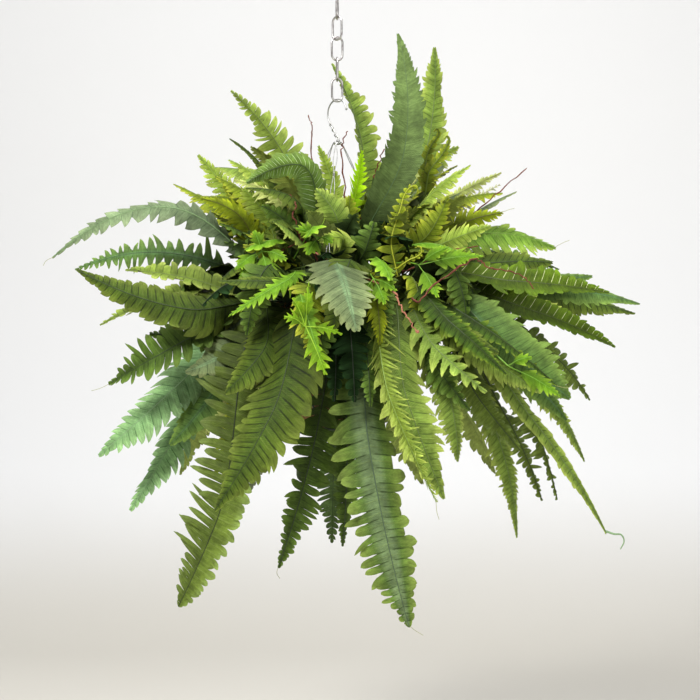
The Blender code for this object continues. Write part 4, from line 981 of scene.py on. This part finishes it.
hookShape = {"wire": 2.0, "round": 19.0, "foot": 62.0, "turn": -46, "eye": 4.6, "eyeWire": 2.4, "endBall": 1.7,
             "wrapWire": 1.5, "wrap": 1.7, "wrapAngle": 24}
hookTop = -chainLink["length"] - 4 * linkStep + 1.3  # its wire lies 0.3 mm clear of the lowest link's
hookMiddle = hookTop - hookShape["round"]
footHeight = hookTop - hookShape["foot"]
bow = np.radians(range(12, 201, 17))
flat = [(hookShape["round"] * math.cos(t), hookMiddle + hookShape["round"] * math.sin(t)) for t in bow]
flat += [(-12.5, hookMiddle - 16.5), (-4.5, hookMiddle - 27.0), (2.6, footHeight + 8.0),
         (hookShape["eye"], footHeight)]
a = math.radians(hookShape["turn"])
route = smoothThrough([(x * math.cos(a), x * math.sin(a), z) for x, z in flat], 4)
eye = [(hookShape["eye"] * math.cos(t), hookShape["eye"] * math.sin(t), footHeight)
       for t in np.linspace(0, 2 * math.pi, 25)[:-1]]
wrap = []
for t in np.linspace(0, 1, 60):  # the end wound back up round the shank
    angle = hookShape["wrapAngle"] * t
    aside = hookShape["wrap"] * np.array([math.cos(angle), math.sin(angle), 0])
    wrap.append(route[-1] * (1 - t) + route[-14] * t + aside)
parts = [tube(route, hookShape["wire"] / 2, brightWire, 2),
         ball(route[0], hookShape["endBall"], brightWire, 16, 10),
         tube(eye, hookShape["eyeWire"] / 2, brightWire, 2, True),
         tube(wrap, hookShape["wrapWire"] / 2, brightWire, 1)]
settle(parts, "hook_wire", "bright_wire", "hook")
print("hook made")


# Strands: two wires that bow apart between the coils which hold them

strand = {"headings": (-8, 112, 232), "wire": 1.1, "rim": 125.4, "rimHeight": -440.0, "eyeBend": 2.8,
          "rimBend": 3.8, "closest": 0.55, "bow": 2.2, "spacing": 46.0, "coilWire": 1.0, "coil": 1.3,
          "coilLength": 3.0}
for n, heading in enumerate(strand["headings"]):
    out = headingVector(heading)
    across = headingVector(heading + 90)
    atEye = out * hookShape["eye"] + up * footHeight
    atRim = out * strand["rim"] + up * strand["rimHeight"]
    upper = [atEye + strand["eyeBend"] * (out * math.cos(t) + up * math.sin(t))
             for t in np.radians((196, 150, 105, 60, 15))]
    lower = [atRim + strand["rimBend"] * (out * math.cos(t) + up * math.sin(t))
             for t in np.radians((112, 68, 24, -20, -64))]
    length = np.linalg.norm(lower[0] - upper[-1])
    along = (lower[0] - upper[-1]) / length
    count = int(length // strand["spacing"])
    parts = []
    for sign in (-1, 1):
        line = list(upper)
        for s in np.arange(1, count * 6) / (count * 6):
            apart = strand["closest"] + strand["bow"] * math.sin(math.pi * (s * count % 1.0)) ** 2
            line.append(upper[-1] + along * length * s + sign * across * apart)
        parts.append(tube(line + lower, strand["wire"] / 2, brightWire, 1))
    for k in range(1, count):
        middle = upper[-1] + along * length * k / count
        coil = [middle + along * (strand["coilLength"] * (j / 16 - 0.5))
                + strand["coil"] * (across * math.cos(j * 1.2) + np.cross(along, across) * math.sin(j * 1.2))
                for j in range(17)]
        parts.append(tube(coil, strand["coilWire"] / 2, brightWire, 1))
    settle(parts, f"basket_strand_{n + 1}_wires", "bright_wire", f"basket_strand_{n + 1}")
print("strands made")


# Basket, liner and foam, which the leaves hide almost fully

basketShape = {"rim": 125.0, "rimHeight": -440.0, "depth": 162.0, "foot": 64.0, "rimWire": 4.0, "wire": 2.6,
               "uprights": 8, "liner": 6.0, "linerGap": 2.5}


def bowlLine(inset, steps=6):  # (radius, height) down the basket's side, moved inwards by inset
    line = [(basketShape["rim"] - (basketShape["rim"] - basketShape["foot"]) * (i / steps) ** 1.8,
             basketShape["rimHeight"] - basketShape["depth"] * i / steps) for i in range(steps + 1)]
    moved = []
    for i, (radius, height) in enumerate(line):
        before, after = line[max(i - 1, 0)], line[min(i + 1, steps)]
        slope = unit(np.array([after[0] - before[0], after[1] - before[1]]))
        moved.append((radius + slope[1] * inset, height - slope[0] * inset))
    return moved


def ring(radius, height, wire):
    bpy.ops.mesh.primitive_torus_add(major_radius=radius * mm, minor_radius=wire / 2 * mm, major_segments=72,
                                     minor_segments=10, location=(0, 0, height * mm))
    return cover(bpy.context.active_object, greenPaint)


def turned(name, profile, finish):  # a profile of (radius, height) turned about the hanging axis
    mesh = bpy.data.meshes.new(name)
    points = [(r * mm, 0.0, z * mm) for r, z in profile]
    mesh.from_pydata(points, [(i, i + 1) for i in range(len(points) - 1)], [])
    thing = addObject(name, mesh)
    screw = thing.modifiers.new("turn", "SCREW")
    screw.steps = screw.render_steps = 96
    screw.use_merge_vertices = True
    screw.merge_threshold = 0.00001
    applyAll(thing)
    mergePoints(thing, 0.01, bpy.ops.mesh.normals_make_consistent)
    return cover(thing, finish)


line = bowlLine(0)
footRadius, footLevel = line[-1]
parts = [ring(basketShape["rim"], basketShape["rimHeight"], basketShape["rimWire"])]
for radius, height in ((line[2][0] + 0.4, line[2][1]), (line[4][0] + 0.4, line[4][1]),
                       (footRadius - 0.6, footLevel - 0.3)):
    parts.append(ring(radius, height, basketShape["wire"]))
routes = []
for k in range(basketShape["uprights"]):
    a = 2 * math.pi * (k + 0.5) / basketShape["uprights"]
    routes.append(smoothThrough([(r * math.cos(a), r * math.sin(a), z) for r, z in line], 4))
for a in (math.pi / 8, math.pi * 5 / 8):  # two wires cross under the foot
    reach = footRadius - 0.4
    routes.append([(s * reach * math.cos(a), s * reach * math.sin(a), footLevel - 0.7) for s in (-1, 1)])
parts += [tube(route, basketShape["wire"] / 2, greenPaint, 2) for route in routes]
settle(parts, "basket_wire_round", "green_painted_wire", "basket_wire")

outer = bowlLine(basketShape["linerGap"], 12)
inner = bowlLine(basketShape["linerGap"] + basketShape["liner"], 12)
top = basketShape["rimHeight"] + 4.0
foot = basketShape["rimHeight"] - basketShape["depth"] + 2.1
floorOfLiner = foot + basketShape["liner"]
wall = [(r - 0.4, z) for r, z in inner]  # the foam's side, 0.4 mm inside the liner
wall[0] = (wall[0][0], top)
wall[-1] = (wall[-1][0] - 2.3, floorOfLiner + 0.3)
outer[0], inner[0] = (outer[0][0], top), (inner[0][0], top)
outer[-1], inner[-1] = (outer[-1][0], foot), (inner[-1][0] - 2.0, floorOfLiner)
profile = [(0, foot), (30, foot), *reversed(outer), *inner, (30, floorOfLiner), (0, floorOfLiner)]
mat = turned("coir_liner_mat", profile, coirMat)
lumps = bpy.data.textures.new("coir lumps", "CLOUDS")
lumps.noise_scale = 9 * mm
shake = mat.modifiers.new("lumps", "DISPLACE")
shake.texture = lumps
shake.strength = 2.0 * mm
shake.mid_level = 0.6
applyAll(mat)
settle([mat], "coir_liner_mat", "coir", "coir_liner")

loose = {"count": 170, "wire": 0.44, "from": 120, "lengths": (8, 26)}  # fibres that stand off the liner's edge
dice = np.random.default_rng(31)
fibres = []
for k in range(loose["count"]):
    a = dice.uniform(0, 2 * math.pi)
    out = np.array([math.cos(a), math.sin(a), 0])
    turn = np.array([-math.sin(a), math.cos(a), 0])
    start = out * loose["from"] + up * (top - 1)
    length = dice.uniform(*loose["lengths"])
    way = start + length * (out * dice.uniform(-0.2, 0.4) + up * dice.uniform(0.1, 0.45)
                            + turn * 0.3 * dice.normal())
    end = way + length * (out * dice.uniform(-0.1, 0.5) - up * dice.uniform(-0.2, 0.4)
                          + turn * 0.5 * dice.normal())
    fibres.append(tube(smoothThrough([start, way, end], 3), loose["wire"] / 2, coirThread, 0))
settle(fibres, "coir_fibres", "coir")

dome = [(foamTop["radius"] * math.cos(t), foamTop["base"] + foamTop["height"] * math.sin(t))
        for t in np.linspace(0, math.pi / 2, 14)]
dome[-1] = (0, dome[-1][1])
block = turned("floral_foam_block", [(0, wall[-1][1]), *reversed(wall), *dome], wetFoam)
settle([block], "floral_foam_block", "floral_foam", "foam")
print("basket, liner and foam made")


# Twigs: heading and rise of the foot, then the branches

twigRows = (
    ("twig_left", (-160, 80), (((-30, 20, -282), (-37, 24, -220), (-36, 28, -181), (-41, 30, -161)),)),
    ("twig_top", (60, 84), (((14, -14, -300), (7, -14, -229), (8, -12, -204), (15, -12, -189)),
                            ((48, -50, -288), (51, -52, -261), (56, -56, -242), (65, -60, -219)))),
    ("twig_right", (90, 68), (((96, -14, -340), (164, -30, -320), (212, -34, -286), (262, -36, -243)),
                              ((90, -110, -389), (139, -110, -365), (190, -100, -354)),
                              ((101, -180, -429), (127, -184, -409), (165, -190, -383), (184, -186, -376),
                               (199, -184, -387), (226, -182, -391), (248, -178, -400), (258, -176, -414)))),
    ("twig_front", (-16, 66), (((-55, -104, -330), (-49, -114, -347), (-75, -124, -363), (-96, -128, -380)),
                               ((-58, -104, -316), (-55, -100, -300), (-63, -96, -284)),
                               ((69, -226, -417), (77, -244, -428), (84, -256, -443), (94, -262, -459),
                                (103, -264, -471)))),
)
twigShape = {"foot": 1.35, "end": 0.75, "knots": 0.18, "kinks": 0.9, "cutEnd": 2.3}
for number, (name, (heading, rise), branches) in enumerate(twigRows):
    dice = np.random.default_rng(50 + number)
    root = rootOnFoam(heading, rise)
    out = headingVector(heading, rise)
    routes = [np.array(branch, float) for branch in branches]
    routes[0] = np.vstack([root - out * holeDepth, root + out * 8.0, routes[0]])
    fork = routes[0][1] * 0.55 + routes[0][2] * 0.45
    routes[1:] = [np.vstack([fork, route]) for route in routes[1:]]
    parts = []
    for k, route in enumerate(routes):
        bent = smoothThrough(route, 7)
        bent[2:-1] += dice.normal(scale=twigShape["kinks"], size=(len(bent) - 3, 3))
        share = np.linspace(0, 1, len(bent))
        radii = twigShape["foot"] + (twigShape["end"] - twigShape["foot"]) * share
        radii = radii * (1 + twigShape["knots"] * np.sin(share * 60))
        reddish = name == "twig_front" and k == len(routes) - 1
        parts.append(tube(bent, radii, salmon if reddish else bark, 2))
        if reddish:  # the swollen cut end
            parts.append(ball(bent[-1], twigShape["cutEnd"], salmon, 12, 8))
    settle(parts, name + "_bark", "twig", name)
print("twigs made")


# Studio: backdrop paper that sweeps up into a wall, lamps, world and camera

backdrop = {"level": -1.15, "size": (14, 8, 1), "shift": (0, -1.4, 0), "wall": 5.0, "sweep": 1.2}
bpy.ops.mesh.primitive_plane_add(size=1.0, location=(0, 0, backdrop["level"]))
floor = bpy.context.active_object
floor.name = "studio_floor"
floor.scale = backdrop["size"]
applyPlace(floor)
floor.location = backdrop["shift"]
applyPlace(floor)
onlyActive(floor)
bpy.ops.object.mode_set(mode="EDIT")
bpy.ops.mesh.select_all(action="DESELECT")
bpy.ops.object.mode_set(mode="OBJECT")
for edge in floor.data.edges:  # the rear edge goes up as the wall
    edge.select = all(floor.data.vertices[k].co.y > 2.0 for k in edge.vertices)
bpy.ops.object.mode_set(mode="EDIT")
bpy.ops.mesh.extrude_region_move(TRANSFORM_OT_translate={"value": (0, 0, backdrop["wall"])})
bpy.ops.object.mode_set(mode="OBJECT")
sweep = floor.modifiers.new("sweep", "BEVEL")
sweep.width = backdrop["sweep"]
sweep.segments = 24
applyAll(floor)
paper, shader = newFinish("matt white backdrop paper, greyer where it is walked on", 0.9, 0.2)
ground = addNode(paper, "TexCoord", {})
place = addNode(paper, "SeparateXYZ", {0: ground.outputs["Object"]})
drift = remap(paper, noise(paper, 0.8), 0.0, 1.0, -0.06, 0.06)  # patches over a metre across
height = maths(paper, "ADD", place.outputs[2], drift)
# painted shade: the paper is darker down on the floor, and towards the left
floorShadeFade = remap(paper, height, -1.2, -0.8, 0.0, 1.0)
floorShadeFade.interpolation_type = "SMOOTHSTEP"
colour = blend(paper, floorShadeFade, linearColour("D8D4CA"), linearColour("F9F9F9"))
leftShade = remap(paper, place.outputs[0], -1.1, 0.4, 0.9, 0.985)
fillInputs(paper, shader, {"Base Color": shaded(paper, leftShade, colour)})
# the paper's back is clear: views from behind see through
geometry = addNode(paper, "NewGeometry", {})
clear = addNode(paper, "BsdfTransparent", {})
oneSided = addNode(paper, "MixShader", {0: geometry.outputs["Backfacing"], 1: shader, 2: clear})
fillInputs(paper, paper.node_tree.nodes["Material Output"], {"Surface": oneSided})
cover(floor, paper)

lamps = {
    "key": {"place": (-1.3, -2.2, 1.5), "size": 0.8, "power": 94, "colour": "FFFFFF"},
    "fill": {"place": (1.6, -2.4, -0.7), "size": 1.6, "power": 30, "colour": "FBFCFF"},
    "top": {"place": (0.1, -0.5, 1.8), "size": 1.2, "power": 48, "colour": "FFFFFF"},
    "wall": {"place": (0.0, 0.7, 1.4), "size": 1.4, "power": 2.4, "colour": "FFFFFF", "aim": (0.0, 2.6, -0.2)},
}
for name, lamp in lamps.items():
    light = bpy.data.lights.new(name, "AREA")
    light.energy = lamp["power"]
    light.size = lamp["size"]
    light.color = linearColour(lamp["colour"])[:3]
    thing = addObject(name, light)
    thing.location = lamp["place"]
    aim = Vector(lamp.get("aim", (0, 0, -0.45))) - Vector(lamp["place"])
    thing.rotation_euler = aim.to_track_quat("-Z", "Y").to_euler()

world = bpy.data.worlds.new("studio")
bpy.context.scene.world = world
world.use_nodes = True
background = world.node_tree.nodes["Background"]
background.inputs["Color"].default_value = linearColour("F6F7F8")
background.inputs["Strength"].default_value = 0.31

view = {"place": (0.018, -2.6, -0.494), "focal": 95.5, "sensor": 36.0}
camera = addObject("camera", bpy.data.cameras.new("camera"))
camera.data.lens = view["focal"]
camera.data.sensor_width = view["sensor"]
camera.location = view["place"]
camera.rotation_euler = (math.radians(90), 0, 0)
bpy.context.scene.camera = camera
bpy.context.scene.view_settings.view_transform = "Standard"
print("studio made")

shown = [thing for thing in bpy.data.objects if thing.type == "MESH" and thing.get("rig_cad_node") is None]
counts = {thing.name: sum(len(face.vertices) - 2 for face in thing.data.polygons) for thing in shown}
print("triangles:", sum(counts.values()), "most in one piece:", max(counts.items(), key=lambda item: item[1]))
